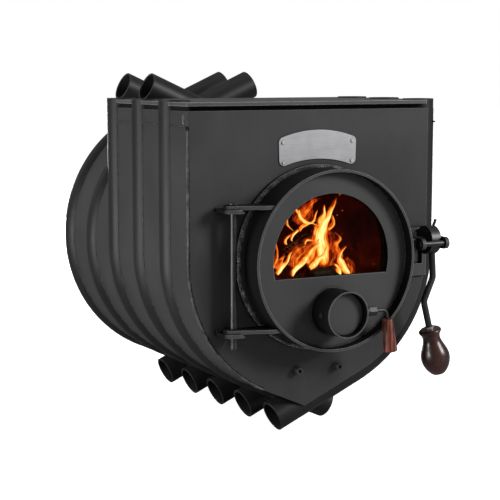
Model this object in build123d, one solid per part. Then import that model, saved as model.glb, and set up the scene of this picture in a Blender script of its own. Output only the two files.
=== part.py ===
"""Workshop stove: a warm-air wood stove made of ten bent tubes with sheet strips between them.

Built in millimetres, +X to the viewer's right, +Y towards the back, +Z up. The pieces are drawn
about the centre of the tube bends, with the front plate's outer face at y = 0. At the end they
move to stand on z = 0, with the origin under the middle of the whole stove.
"""
import os
from math import cos, radians, sin, sqrt, tan

from build123d import *

os.makedirs("parts", exist_ok=True)

# Tubes: five hug each side, one side after the other from front to back
tube_diameter = 48.3
tube_wall = 3.0
bend_radius = 201.0
right_roof_radius = 160.0
tail_slope = 24.0
tubes_per_side = 5
square_tubes = 3
tube_gap = 0.4
low_tail = 61.0
high_tail_left = 81.0
high_tail_right = 136.0
tube_stand = 1.8

# Sheet metal of the shell
plate_thickness = 4.0
strip_thickness = 3.0
strip_offset = 16.65
weld_clearance = 0.2
strip_weld_drop = 29.0
strip_weld_gap = 0.3
front_recess = 7.0
cook_plate_rise = 28.7
cook_plate_thickness = 5.5
cook_plate_overhang = 3.0
cook_plate_side_lip = 1.5
cook_skirt_thickness = 3.0
cook_skirt_setback = 14.0
cook_corner_inset = 5.0
bulkhead_web = 20.0
bulkhead_foot = 5.0
baffle_foot = 30.0

# Flue outlet at the back, with its damper
flue_diameter = 118.0
flue_wall = 2.5
flue_length = 76.0
flue_height = 80.0
flue_collar_length = 26.0
flue_collar_thickness = 2.5
damper_clearance = 1.2
damper_thickness = 2.5
damper_spindle_diameter = 8.0
damper_axis_setback = 16.0
damper_cutout = 24.0
damper_spindle_stub = 6.0
damper_handle_reach = 34.0
damper_handle_drop = 62.0
damper_knob_diameter = 15.0
running_clearance = 0.06

# Door ring, disc, window and seal
door_diameter = 273.0
door_ring_wall = 4.0
door_front = 61.0
door_disc_setback = 17.0
door_disc_thickness = 4.0
seal_diameter = 10.0
seal_bulge = 1.5
door_gap = 0.3
window_margin = 36.5
window_chord = -24.0
window_lap = 7.0
glass_thickness = 4.0
retainer_width = 16.0
retainer_thickness = 2.0
retainer_screws = 5
retainer_screw_arc = 150.0
screw_diameter = 5.0
screw_head_diameter = 9.0
screw_head_height = 3.0
screw_bite = 2.5
throat_gap = 10.5
throat_wall = 4.0
throat_reach = 28.0

# Air inlet on the door, with its butterfly valve
inlet_diameter = 70.0
inlet_wall = 2.0
inlet_margin = 59.8
inlet_front = 91.5
valve_disc_clearance = 1.5
valve_disc_thickness = 2.0
valve_spindle_diameter = 8.0
valve_spindle_setback = 17.0
valve_spindle_stub = 2.5
valve_bush_diameter = 12.6
valve_bush_length = 9.8
valve_nut_width = 13.0
valve_nut_length = 13.0
valve_rod_diameter = 5.0
valve_rod_reach = 19.8
valve_rod_bend = 9.0
valve_rod_drop = 14.5
valve_rod_tilt = 7.7
grip_top_diameter = 16.0
grip_bottom_diameter = 21.3
grip_length = 50.5
grip_rounding = 1.6
grip_bore_depth = 22.0

# Hinge on the left
hinge_gap = 19.5
hinge_pin_setback = 25.0
hinge_pin_diameter = 10.0
hinge_bracket_width = 36.0
hinge_plate_thickness = 5.5
upper_bracket_height = 76.0
lower_bracket_height = -106.0
leaf_rim = 3.0
leaf_shoulder = 12.0
hinge_pin_head_diameter = 15.0
hinge_pin_head_height = 3.0
hinge_pin_tail = 18.0
split_pin_diameter = 2.8
split_pin_spread = 34.0
split_pin_overhang = 4.0
split_pin_eye_leg = 8.0
split_pin_leg = 15.0

# Latch on the right: strike plate on the body, lever unit on the door
latch_reach = 45.0
strike_gap = 13.5
strike_width = 47.0
strike_top = 36.0
strike_bottom = -40.0
strike_thickness = 6.0
strike_slot_shift = 0.5
strike_slot_width = 17.0
strike_slot_top = 33.5
strike_slot_bottom = -21.0
latch_height = 17.0
latch_setback = 35.0
cheek_height = 18.0
cheek_thickness = 6.0
cheek_front = 69.5
cheek_back = 12.0
cheek_left_gap = 28.0
cheek_right_gap = 9.0
latch_arm_height = 16.0
latch_arm_depth = 32.0
latch_axle_diameter = 10.0
latch_axle_head_diameter = 14.0
latch_head_height = 1.5
cross_pin_diameter = 8.5
cross_pin_setback = 62.0
drum_diameter = 44.0
drum_width = 17.0
drum_hub_diameter = 18.0
drum_eccentricity = 3.0
drum_socket_depth = 10.0
lever_seat = 4.0
finger_diameter = 4.6
finger_length = 11.5
finger_lean = 21.5
lever_diameter = 10.0
lever_bend_radius = 14.0
lever_forward = 4.0
lever_top_x = 3.4
lever_knee_x = 6.1
lever_knee_drop = 56.0
lever_turn_x = -10.3
lever_turn_drop = 93.0
lever_end_x = 1.4
lever_end_drop = 137.0
ferrule_diameter = 14.0
ferrule_length = 3.5
knob_length = 75.0
knob_bore_depth = 30.0
knob_belly_diameter = 45.5
knob_belly_at = 47.0
knob_rim_diameter = 35.5
knob_rim_at = 4.5
knob_neck_diameter = 27.5
knob_neck_at = 14.0
knob_foot_diameter = 20.0

# Nameplate and the two threaded bosses
nameplate_gap = 12.5
nameplate_height = 43.5
nameplate_top_width = 135.0
nameplate_bottom_width = 133.0
nameplate_rise = 12.5
nameplate_corner = 8.0
nameplate_thickness = 1.5
rivet_inset_x = 7.0
rivet_inset_low = 8.0
rivet_inset_high = 5.5
rivet_diameter = 3.0
rivet_head_diameter = 5.0
rivet_head_height = 1.4
boss_spacing = 71.0
boss_drop = 35.5
boss_diameter = 11.0
boss_length = 12.0
boss_thread_diameter = 5.0
boss_thread_depth = 10.0

# Values that follow from the ones above
tube_radius = tube_diameter / 2
tube_step = tube_diameter + tube_gap
tube_pitch = 2 * tube_step
first_tube_y = plate_thickness + tube_radius
strip_outer = bend_radius + strip_offset
strip_inner = strip_outer - strip_thickness
slope_sin = sin(radians(tail_slope))
slope_cos = cos(radians(tail_slope))
slope_tan = tan(radians(tail_slope))
cook_plate_base = bend_radius + cook_plate_rise
cook_plate_top = cook_plate_base + cook_plate_thickness
tube_top = cook_plate_top + tube_stand
front_plate_top = cook_plate_base - front_recess
strip_weld_height = cook_plate_base - strip_weld_drop
bulkhead_y = first_tube_y + (square_tubes - 0.5) * tube_pitch
last_tube_y = first_tube_y + (tubes_per_side - 0.5) * tube_pitch
back_plate_y = last_tube_y + tube_radius
back_face_y = back_plate_y + plate_thickness
door_radius = door_diameter / 2
door_back = seal_diameter + door_gap
disc_front = door_front - door_disc_setback
disc_back = disc_front - door_disc_thickness
glass_back = disc_back - glass_thickness
throat_radius = door_radius - door_ring_wall - throat_gap
window_radius = door_radius - window_margin
inlet_radius = inlet_diameter / 2
inlet_bore = inlet_radius - inlet_wall
inlet_height = inlet_margin - door_radius
flue_radius = flue_diameter / 2
flue_bore = flue_radius - flue_wall
latch_x = door_radius + latch_reach
cheek_gap_left = latch_x - cheek_left_gap
cheek_gap_right = latch_x + cheek_right_gap

parts = {}


def tube_y(side, number):
    """Depth of a tube's plane: side is +1 for the right, -1 for the left, number counts from 1."""
    shift = 0.0 if side > 0 else tube_step
    return first_tube_y + shift + (number - 1) * tube_pitch


def flat(shape):
    """Stand a drawing made in X and Y up in the X and Z plane."""
    return Plane.XZ * shape


def slab(face, near, far):
    """Solid between two depths, from a face that stands at y = 0."""
    return extrude(Pos(0, near, 0) * face, amount=far - near, dir=(0, 1, 0))


def bend_arc(side, radius, roof):
    """Points of a quarter bend that starts level with the bend centre, and ends where its tail starts."""
    bend = right_roof_radius if roof and side > 0 else bend_radius
    reach = bend + radius - bend_radius
    middle = bend_radius - bend
    up = 1 if roof else -1
    half = radians(90 - tail_slope) / 2
    halfway = (side * (middle + reach * cos(half)), up * reach * sin(half))
    end = (side * (middle + reach * slope_sin), up * reach * slope_cos)
    return (side * radius, 0), halfway, end


def hull_line(left, right, roof):
    """Edges of the keel below the bend centre, or of the roof above it, at the two given radii."""
    up = 1 if roof else -1
    left_start, left_half, left_end = bend_arc(-1, left, roof)
    right_start, right_half, right_end = bend_arc(1, right, roof)
    left_rise = up * left_end[1] - slope_tan * left_end[0]
    right_rise = up * right_end[1] + slope_tan * right_end[0]
    keel_x = (right_rise - left_rise) / (2 * slope_tan)
    keel = (keel_x, up * (left_rise + slope_tan * keel_x))
    return [ThreePointArc(left_start, left_half, left_end), Line(left_end, keel), Line(keel, right_end),
            ThreePointArc(right_end, right_half, right_start)]


def outline(left, right, top=None):
    """Cross-section of the stove at the given radii: flat at top, or arched where top is None."""
    edges = hull_line(left, right, False)
    if top is None:
        edges += hull_line(left, right, True)
    else:
        edges += [Line((right, 0), (right, top)), Line((right, top), (-left, top)), Line((-left, top), (-left, 0))]
    return flat(make_face(Wire(edges)))


def window_outline(grow):
    """Half-round window, grown outwards by a width."""
    radius = window_radius + grow
    chord = window_chord - grow
    half = sqrt(radius**2 - chord**2)
    arc = ThreePointArc((-half, chord), (0, radius), (half, chord))
    return flat(make_face(Wire([arc, Line((half, chord), (-half, chord))])))


def area(x0, x1, z0, z1):
    """Upright rectangle at y = 0."""
    return flat(Pos((x0 + x1) / 2, (z0 + z1) / 2) * Rectangle(x1 - x0, z1 - z0))


def rod(start, end, diameter):
    """Round bar between two points."""
    a = Vector(*start)
    b = Vector(*end)
    place = Plane(origin=a, z_dir=(b - a).normalized())
    return extrude(place * Circle(diameter / 2), amount=(b - a).length)


def pipe_along(path, diameter):
    """Round bar swept along a wire."""
    place = Plane(origin=path @ 0, z_dir=path % 0)
    return sweep(place * Circle(diameter / 2), path=path)


# Tubes
def tail_end(side, reach, roof):
    """Centre of a tube's open end, a given reach beyond the middle plane."""
    end = bend_arc(side, bend_radius, roof)[2]
    rise = (side * end[0] + reach) * slope_tan
    return (-side * reach, 0, end[1] + (rise if roof else -rise))


def upright(point):
    """Point in the X and Z plane, from its two coordinates."""
    return (point[0], 0, point[1])


def tube_path(side, number):
    """Centre line of one tube, from its lower open end to its upper one."""
    waist, low_half, low_bend = [upright(point) for point in bend_arc(side, bend_radius, False)]
    low = [Line(tail_end(side, low_tail, False), low_bend), ThreePointArc(low_bend, low_half, waist)]
    if number <= square_tubes:
        return Wire(low + [Line(waist, (side * bend_radius, 0, tube_top))])
    reach = high_tail_right if side > 0 else high_tail_left
    waist, high_half, high_bend = [upright(point) for point in bend_arc(side, bend_radius, True)]
    return Wire(low + [ThreePointArc(waist, high_half, high_bend), Line(high_bend, tail_end(side, reach, True))])


def tube(side, number, diameter):
    """Solid bar on a tube's centre line."""
    return Pos(0, tube_y(side, number), 0) * pipe_along(tube_path(side, number), diameter)


for number in range(1, tubes_per_side + 1):
    for side, word in ((1, "right"), (-1, "left")):
        bore = tube(side, number, tube_diameter - 2 * tube_wall)
        parts[f"tube_{word}_{number}"] = tube(side, number, tube_diameter) - bore

tube_space = {
    (side, number): tube(side, number, tube_diameter + 2 * weld_clearance)
    for number in range(1, tubes_per_side + 1)
    for side in (1, -1)
}


# Side strips between the tubes
def above(height):
    """Everything higher than a height, at y = 0."""
    reach = 2 * strip_outer
    return area(-reach, reach, height, height + reach)


def band(side, top=None):
    """Thin section of one side's strip, ending at the middle plane."""
    ring = outline(strip_outer, strip_outer, top) - outline(strip_inner, strip_inner, top)
    reach = 2 * strip_outer
    half = area(strip_weld_gap / 2, reach, -reach, reach)
    if side < 0:
        half = area(-reach, -strip_weld_gap / 2, -reach, reach)
    return ring & half


def clear_tubes(strip, near, far):
    """Cut the tubes out of a strip that lies between two depths."""
    for (side, number), space in tube_space.items():
        if near - tube_step < tube_y(side, number) < far + tube_step:
            strip -= space
    return strip


def strip_bounds(side, number):
    """Depths between which a strip lies: number is that of the tube in front of it, or 0."""
    near = plate_thickness if number == 0 else tube_y(side, number) + strip_weld_gap / 2
    far = back_plate_y if number == tubes_per_side else tube_y(side, number + 1) - strip_weld_gap / 2
    return near, far


def square_strip(side, near, far):
    """Strip of the square front part, up to the weld below the cook plate."""
    return slab(band(side, strip_weld_height + strip_thickness) - above(strip_weld_height), near, far)


def step_strip(side, near, far):
    """Strip that is straight in front of the bulkhead and arched behind it."""
    arched = slab(band(side), near, far)
    split = bulkhead_y + plate_thickness / 2
    return (arched - slab(above(0), near, split)) + (square_strip(side, near, split) & slab(above(0), near, split))


def largest(shape):
    """The biggest solid of a cut piece."""
    return max(shape.solids(), key=lambda solid: solid.volume)


for side, word, first in ((1, "right", 1), (-1, "left", 0)):
    for place in range(tubes_per_side):
        number = first + place
        near, far = strip_bounds(side, number)
        if number < square_tubes:
            strip = square_strip(side, near, far)
        elif number == square_tubes:
            strip = step_strip(side, near, far)
        else:
            strip = slab(band(side), near, far)
        parts[f"side_strip_{word}_{place + 1}"] = largest(clear_tubes(strip, near, far))

upper_face = area(strip_inner, strip_outer, strip_weld_height + strip_weld_gap, front_plate_top)
for side, word, first in ((1, "right", 1), (-1, "left", 0)):
    group = []
    for number in range(first, square_tubes + (1 if side > 0 else 0)):
        near, far = strip_bounds(side, number)
        piece = slab(upper_face, near, min(far, bulkhead_y))
        if side < 0:
            piece = mirror(piece, about=Plane.YZ)
        group.append(largest(clear_tubes(piece, near, far)))
    parts[f"upper_strips_{word}"] = Compound(group)

# Front plate, back plate and bulkhead
front_face = outline(strip_outer, bend_radius, front_plate_top)
front_face -= flat(Circle(throat_radius + weld_clearance))
nameplate_bottom = door_radius + nameplate_gap - nameplate_rise
nameplate_top = nameplate_bottom + nameplate_height
low_rivet_x = nameplate_bottom_width / 2 - rivet_inset_x
high_rivet_x = nameplate_top_width / 2 - rivet_inset_x
low_rivets = [(x, nameplate_bottom + rivet_inset_low) for x in (-low_rivet_x, low_rivet_x)]
high_rivets = [(x, nameplate_top - rivet_inset_high) for x in (-high_rivet_x, high_rivet_x)]
rivet_places = low_rivets + high_rivets
for x, z in rivet_places:
    front_face -= flat(Pos(x, z) * Circle(rivet_diameter / 2 + weld_clearance))
parts["front_plate"] = slab(front_face, 0, plate_thickness)

back_face = outline(bend_radius, strip_outer) - flat(Pos(0, flue_height) * Circle(flue_bore))
parts["back_plate"] = slab(back_face, back_plate_y, back_face_y)

bulkhead_left = bend_radius - tube_radius - weld_clearance
bulkhead_face = area(-bulkhead_left, strip_inner, bulkhead_foot, cook_plate_base)
bulkhead_face -= outline(strip_inner - bulkhead_web, strip_inner - bulkhead_web)
bulkhead = slab(bulkhead_face, bulkhead_y - plate_thickness / 2, bulkhead_y + plate_thickness / 2)
bulkhead -= tube_space[(1, square_tubes)]
bulkhead -= tube_space[(1, square_tubes + 1)]
parts["bulkhead"] = largest(bulkhead)

baffle_y = last_tube_y - tube_step - tube_pitch / 4
baffle_near = baffle_y - plate_thickness / 2
baffle_face = outline(strip_inner, strip_inner) & above(baffle_foot)
baffle = slab(baffle_face, baffle_near, baffle_near + plate_thickness)
parts["baffle_plate"] = largest(clear_tubes(baffle, baffle_near, baffle_near + plate_thickness))

# Cook plate, notched round the six square tubes, with a skirt and a gutter behind the front plate
cook_half = strip_outer + cook_plate_side_lip
cook_back = bulkhead_y + plate_thickness / 2
cook_plate = Box(2 * cook_half, cook_back + cook_plate_overhang, cook_plate_thickness,
                 align=(Align.CENTER, Align.MIN, Align.MIN))
cook_plate = Pos(0, -cook_plate_overhang, cook_plate_base) * cook_plate
skirt_half = strip_inner - 1.5 * weld_clearance
skirt_near = plate_thickness + weld_clearance
skirt_far = bulkhead_y - plate_thickness / 2
skirt_side = area(skirt_half - cook_skirt_thickness, skirt_half, strip_weld_height, cook_plate_base)
cook_plate += slab(skirt_side, skirt_near, skirt_far)
cook_plate += slab(mirror(skirt_side, about=Plane.YZ), skirt_near, skirt_far)
gutter_far = skirt_near + cook_skirt_setback
gutter_floor = area(-skirt_half, skirt_half, strip_weld_height, strip_weld_height + cook_skirt_thickness)
skirt_front = area(-skirt_half, skirt_half, strip_weld_height, cook_plate_base)
cook_plate += slab(gutter_floor, skirt_near, gutter_far)
cook_plate += slab(skirt_front, gutter_far, gutter_far + cook_skirt_thickness)
front_corner = area(bend_radius - cook_corner_inset, 2 * cook_half, cook_plate_base, cook_plate_top)
cook_plate -= slab(front_corner, -2 * cook_plate_overhang, first_tube_y)
for number in range(1, square_tubes + 1):
    cook_plate = cook_plate - tube_space[(1, number)] - tube_space[(-1, number)]
parts["cook_plate"] = largest(cook_plate)

# Flue spigot and damper
spigot_face = flat(Pos(0, flue_height) * Circle(flue_radius))
collar_face = flat(Pos(0, flue_height) * Circle(flue_radius + flue_collar_thickness))
bore_face = flat(Pos(0, flue_height) * Circle(flue_bore))
spigot = slab(spigot_face, back_face_y, back_face_y + flue_length)
spigot += slab(collar_face, back_face_y, back_face_y + flue_collar_length)
spigot -= slab(bore_face, back_face_y - 1, back_face_y + flue_length + 1)
damper_y = back_face_y + damper_axis_setback
damper_reach = flue_radius + damper_handle_reach
damper_radius = damper_spindle_diameter / 2
stub_reach = flue_radius + damper_spindle_stub
spindle_hole = rod((-stub_reach, damper_y, flue_height), (stub_reach, damper_y, flue_height),
                   damper_spindle_diameter + 2 * running_clearance)
parts["flue_spigot"] = spigot - spindle_hole
damper_height = flue_height + damper_radius
damper_disc = extrude(Pos(0, damper_y, damper_height) * Circle(flue_bore - damper_clearance), amount=damper_thickness)
notch = Pos(0, damper_y + flue_bore, damper_height) * Cylinder(damper_cutout, 3 * damper_thickness)
parts["flue_damper"] = damper_disc - notch
damper_spindle = rod((-stub_reach, damper_y, flue_height), (damper_reach, damper_y, flue_height),
                     damper_spindle_diameter)
handle_base = flue_height - damper_handle_drop
damper_spindle += rod((damper_reach, damper_y, flue_height + damper_radius), (damper_reach, damper_y, handle_base),
                      damper_spindle_diameter)
damper_spindle += Pos(damper_reach, damper_y, handle_base) * Sphere(damper_knob_diameter / 2)
parts["damper_spindle"] = damper_spindle

# Throat ring that the door closes over
throat = slab(flat(Circle(throat_radius) - Circle(throat_radius - throat_wall)), -throat_reach, plate_thickness)
parts["throat_ring"] = throat

# Door ring, disc and seal
ring_face = flat(Circle(door_radius) - Circle(door_radius - door_ring_wall))
parts["door_ring"] = slab(ring_face, -door_front, -door_back)
disc_edge = door_radius - door_ring_wall
disc_face = flat(Circle(disc_edge)) - window_outline(0)
disc_face -= flat(Pos(0, inlet_height) * Circle(inlet_bore))
door_disc = slab(disc_face, -disc_front, -disc_back)
seal_middle = door_radius - door_ring_wall / 2 + seal_bulge
seal = Pos(0, -door_gap - seal_diameter / 2, 0) * Rot(90, 0, 0) * Torus(seal_middle, seal_diameter / 2)
parts["door_seal"] = seal

# Window glass behind the disc, its retaining frame and screws
parts["window_glass"] = slab(window_outline(window_lap), -disc_back, -glass_back)
frame_face = window_outline(retainer_width) - window_outline(0)
retainer = slab(frame_face, -glass_back, -glass_back + retainer_thickness)
screw_ring = window_radius + (window_lap + retainer_width) / 2
screw_step = retainer_screw_arc / (retainer_screws - 1)
screw_angles = [90 - retainer_screw_arc / 2 + screw_step * place for place in range(retainer_screws)]
screw_places = [(screw_ring * cos(radians(a)), screw_ring * sin(radians(a))) for a in screw_angles]
screws = []
for x, z in screw_places:
    shank_end = -disc_back - screw_bite
    head_base = -glass_back + retainer_thickness
    hole = rod((x, shank_end, z), (x, head_base + 1, z), screw_diameter + weld_clearance)
    retainer -= hole
    door_disc -= hole
    shank = rod((x, shank_end, z), (x, head_base, z), screw_diameter)
    screws.append(shank + rod((x, head_base, z), (x, head_base + screw_head_height, z), screw_head_diameter))
parts["door_disc"] = door_disc
parts["glass_retainer"] = retainer
parts["glass_screws"] = Compound(screws)

# Air inlet tube with its bush
spindle_y = -(inlet_front - valve_spindle_setback)
inlet_ring = flat(Pos(0, inlet_height) * (Circle(inlet_radius) - Circle(inlet_bore)))
inlet_tube = slab(inlet_ring, -inlet_front, -disc_front)
bush_start = sqrt((inlet_radius - inlet_wall / 2)**2 - (valve_bush_diameter / 2)**2)
bush_end = inlet_radius + valve_bush_length
inlet_tube += rod((bush_start, spindle_y, inlet_height), (bush_end, spindle_y, inlet_height), valve_bush_diameter)
inlet_tube -= slab(flat(Pos(0, inlet_height) * Circle(inlet_bore)), -inlet_front, -disc_front)
spindle_start = -inlet_radius - valve_spindle_stub
inlet_tube -= rod((spindle_start, spindle_y, inlet_height), (bush_end + 1, spindle_y, inlet_height),
                  valve_spindle_diameter + 2 * running_clearance)
parts["inlet_tube"] = inlet_tube

# Butterfly valve with its spindle, nut, bent rod and grip
valve_back = spindle_y - valve_spindle_diameter / 2
valve_face = flat(Pos(0, inlet_height) * Circle(inlet_bore - valve_disc_clearance))
parts["valve_disc"] = slab(valve_face, valve_back - valve_disc_thickness, valve_back)
nut_start = bush_end + door_gap
nut_end = nut_start + valve_nut_length
parts["valve_spindle"] = rod((spindle_start, spindle_y, inlet_height), (nut_end, spindle_y, inlet_height),
                             valve_spindle_diameter)
nut_plane = Plane(origin=(nut_start, spindle_y, inlet_height), x_dir=(0, 1, 0), z_dir=(1, 0, 0))
nut_shape = RegularPolygon(valve_nut_width / 2, 6, major_radius=False)
valve_nut = extrude(nut_plane * (nut_shape - Circle(valve_spindle_diameter / 2)), amount=valve_nut_length)
parts["valve_nut"] = valve_nut
tilt = radians(valve_rod_tilt)
elbow = Vector(nut_end + valve_rod_reach, spindle_y, inlet_height)
down = Vector(sin(tilt), 0, -cos(tilt))
grip_top = elbow + down * valve_rod_drop
rod_end = grip_top + down * (grip_bore_depth - 1)
rod_path = FilletPolyline((nut_end, spindle_y, inlet_height), elbow, rod_end, radius=valve_rod_bend)
parts["valve_rod"] = pipe_along(rod_path, valve_rod_diameter)
grip_plane = Plane(origin=grip_top, x_dir=(0, 1, 0), z_dir=down)
grip = loft([grip_plane * Circle(grip_top_diameter / 2),
             grip_plane.offset(grip_length) * Circle(grip_bottom_diameter / 2)])
grip = fillet(grip.edges().filter_by(GeomType.CIRCLE), grip_rounding)
grip -= extrude(grip_plane * Circle(valve_rod_diameter / 2 + weld_clearance / 2), amount=grip_bore_depth)
parts["valve_grip"] = grip

# Hinge brackets on the body
hinge_pin_x = -(door_radius + hinge_gap)
pin_y = -hinge_pin_setback
pin_radius = hinge_pin_diameter / 2


def hinge_bracket(height):
    """Plate that stands out of the front plate and carries the hinge pin."""
    half = hinge_bracket_width / 2
    plate = Pos(hinge_pin_x, pin_y / 2) * Rectangle(hinge_bracket_width, hinge_pin_setback)
    plate += Pos(hinge_pin_x, pin_y) * Circle(half)
    plate -= Pos(hinge_pin_x, pin_y) * Circle(pin_radius + running_clearance)
    return Pos(0, 0, height) * extrude(plate, amount=hinge_plate_thickness)


def door_leaf(height):
    """Plate from the door ring to the hinge pin, resting just above a bracket."""
    middle = height + hinge_plate_thickness / 2
    ring_x = -sqrt(door_radius**2 - middle**2)
    eye = hinge_bracket_width / 2 - leaf_rim
    web = Polygon((hinge_pin_x, pin_y - eye), (ring_x - leaf_shoulder, leaf_rim - door_front),
                  (0, leaf_rim - door_front), (0, pin_y + eye / 2), (hinge_pin_x, pin_y + eye / 2), align=None)
    plate = web + Pos(hinge_pin_x, pin_y) * Circle(eye)
    plate -= Pos(hinge_pin_x, pin_y) * Circle(pin_radius + running_clearance)
    leaf = Pos(0, 0, height) * extrude(plate, amount=hinge_plate_thickness)
    return leaf - slab(flat(Circle(door_radius)), -door_front - 1, 1)


upper_leaf_height = upper_bracket_height + hinge_plate_thickness + door_gap
lower_leaf_height = lower_bracket_height + hinge_plate_thickness + door_gap
parts["hinge_bracket_upper"] = hinge_bracket(upper_bracket_height)
parts["hinge_bracket_lower"] = hinge_bracket(lower_bracket_height)
parts["door_leaf_upper"] = door_leaf(upper_leaf_height)
parts["door_leaf_lower"] = door_leaf(lower_leaf_height)

# Hinge pin and its split pin
pin_head_base = upper_leaf_height + hinge_plate_thickness + door_gap
pin_foot = lower_bracket_height - hinge_pin_tail
hinge_pin = rod((hinge_pin_x, pin_y, pin_foot), (hinge_pin_x, pin_y, pin_head_base), hinge_pin_diameter)
hinge_pin += rod((hinge_pin_x, pin_y, pin_head_base), (hinge_pin_x, pin_y, pin_head_base + hinge_pin_head_height),
                 hinge_pin_head_diameter)
split_z = lower_bracket_height - split_pin_diameter / 2 - door_gap
split_reach = pin_radius + split_pin_overhang
split_hole = rod((hinge_pin_x - split_reach, pin_y, split_z), (hinge_pin_x + split_reach, pin_y, split_z),
                 split_pin_diameter + weld_clearance)
parts["hinge_pin"] = hinge_pin - split_hole
split_start = Vector(hinge_pin_x + split_reach, pin_y, split_z)
split_bend = Vector(hinge_pin_x - split_reach, pin_y, split_z)
leg_tilt = radians(split_pin_spread)
split_tip = split_bend + Vector(-sin(leg_tilt), 0, -cos(leg_tilt)) * split_pin_leg
split_eye = split_start + Vector(sin(leg_tilt), 0, -cos(leg_tilt)) * split_pin_eye_leg
split_path = FilletPolyline(split_eye, split_start, split_bend, split_tip, radius=split_pin_diameter)
parts["split_pin"] = pipe_along(split_path, split_pin_diameter)

# Latch: strike plate on the body
strike_left = door_radius + strike_gap
strike_right = strike_left + strike_width
strike_face = area(strike_left, strike_right, strike_bottom, strike_top)
slot_x = latch_x - strike_slot_shift
slot_radius = strike_slot_width / 2
strike_face -= area(slot_x - slot_radius, slot_x + slot_radius, strike_slot_bottom, strike_slot_top - slot_radius)
strike_face -= flat(Pos(slot_x, strike_slot_top - slot_radius) * Circle(slot_radius))
parts["strike_plate"] = slab(strike_face, -strike_thickness, 0)

# Latch: two cheeks, axle and cross pin on the door
axle_y = -latch_setback
cross_y = -cross_pin_setback
axle_radius = latch_axle_diameter / 2
cross_radius = cross_pin_diameter / 2


def cheek_shape(back):
    """Side view of a cheek, drawn with depth along X and height along Y."""
    nose = cheek_height / 2
    body = Polygon((-back, latch_height - nose), (-back, latch_height + nose),
                   (-cheek_front + nose, latch_height + nose), (-cheek_front + nose, latch_height - nose),
                   align=None)
    body += Pos(-cheek_front + nose, latch_height) * Circle(nose)
    body -= Pos(cross_y, latch_height) * Circle(cross_radius + weld_clearance / 2)
    body -= Pos(axle_y, latch_height) * Circle(axle_radius + weld_clearance / 2)
    return body


cheek_plane = Plane(origin=(0, 0, 0), x_dir=(0, 1, 0), z_dir=(1, 0, 0))
left_cheek = Pos(cheek_gap_left - cheek_thickness, 0, 0) * extrude(cheek_plane * cheek_shape(cheek_back),
                                                                    amount=cheek_thickness)
right_cheek = Pos(cheek_gap_right, 0, 0) * extrude(cheek_plane * cheek_shape(cheek_back), amount=cheek_thickness)
arm = Box(cheek_gap_left - cheek_thickness, latch_arm_depth, latch_arm_height,
          align=(Align.MAX, Align.CENTER, Align.CENTER))
arm = Pos(cheek_gap_left - cheek_thickness, axle_y, latch_height) * arm
arm -= slab(flat(Circle(door_radius)), -2 * door_front, 1)
parts["latch_fork"] = Compound([largest(left_cheek + arm), largest(right_cheek)])
axle_left = cheek_gap_left - cheek_thickness
axle_right = cheek_gap_right + cheek_thickness
latch_axle = rod((axle_left, axle_y, latch_height), (axle_right, axle_y, latch_height), latch_axle_diameter)
latch_axle += rod((axle_right, axle_y, latch_height), (axle_right + latch_head_height, axle_y, latch_height),
                  latch_axle_head_diameter)
parts["latch_axle"] = latch_axle
parts["latch_cross_pin"] = rod((axle_left, cross_y, latch_height), (axle_right, cross_y, latch_height),
                               cross_pin_diameter)

# Latch lever: eccentric drum with its hub and finger
drum_left = latch_x - drum_width / 2
drum_right = latch_x + drum_width / 2
drum_middle = latch_height + drum_eccentricity
drum = rod((drum_left, axle_y, drum_middle), (drum_right, axle_y, drum_middle), drum_diameter)
drum += rod((cheek_gap_left + door_gap, axle_y, latch_height), (drum_left, axle_y, latch_height),
            drum_hub_diameter)
lean = radians(finger_lean)
finger_base = Vector(latch_x, axle_y, drum_middle)
finger_tip = finger_base + Vector(sin(lean), 0, cos(lean)) * (drum_diameter / 2 + finger_length)
drum += rod(finger_base, finger_tip, finger_diameter)
drum -= rod((cheek_gap_left, axle_y, latch_height), (drum_right + 1, axle_y, latch_height),
            latch_axle_diameter + 2 * running_clearance)

# Latch lever: bent rod, ferrule and turned knob
lever_y = axle_y - lever_forward
lever_top = Vector(latch_x + lever_top_x, lever_y, drum_middle - drum_diameter / 2 + lever_seat)
knee = Vector(latch_x + lever_knee_x, lever_y, latch_height - lever_knee_drop)
turn = Vector(latch_x + lever_turn_x, lever_y, latch_height - lever_turn_drop)
lever_end = Vector(latch_x + lever_end_x, lever_y, latch_height - lever_end_drop)
knob_dir = (lever_end - turn).normalized()
lever_tip = lever_end + knob_dir * (knob_bore_depth - weld_clearance)
lever_path = FilletPolyline(lever_top, knee, turn, lever_tip, radius=lever_bend_radius)
parts["lever_rod"] = pipe_along(lever_path, lever_diameter)
socket_end = lever_top + (knee - lever_top).normalized() * drum_socket_depth
parts["latch_drum"] = drum - rod(lever_top, socket_end, lever_diameter + weld_clearance)
ferrule_plane = Plane(origin=lever_end, x_dir=(0, 1, 0), z_dir=knob_dir)
ferrule_face = Circle(ferrule_diameter / 2) - Circle(lever_diameter / 2 + weld_clearance / 2)
parts["lever_ferrule"] = extrude(ferrule_plane.offset(-ferrule_length) * ferrule_face, amount=ferrule_length)


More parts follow.
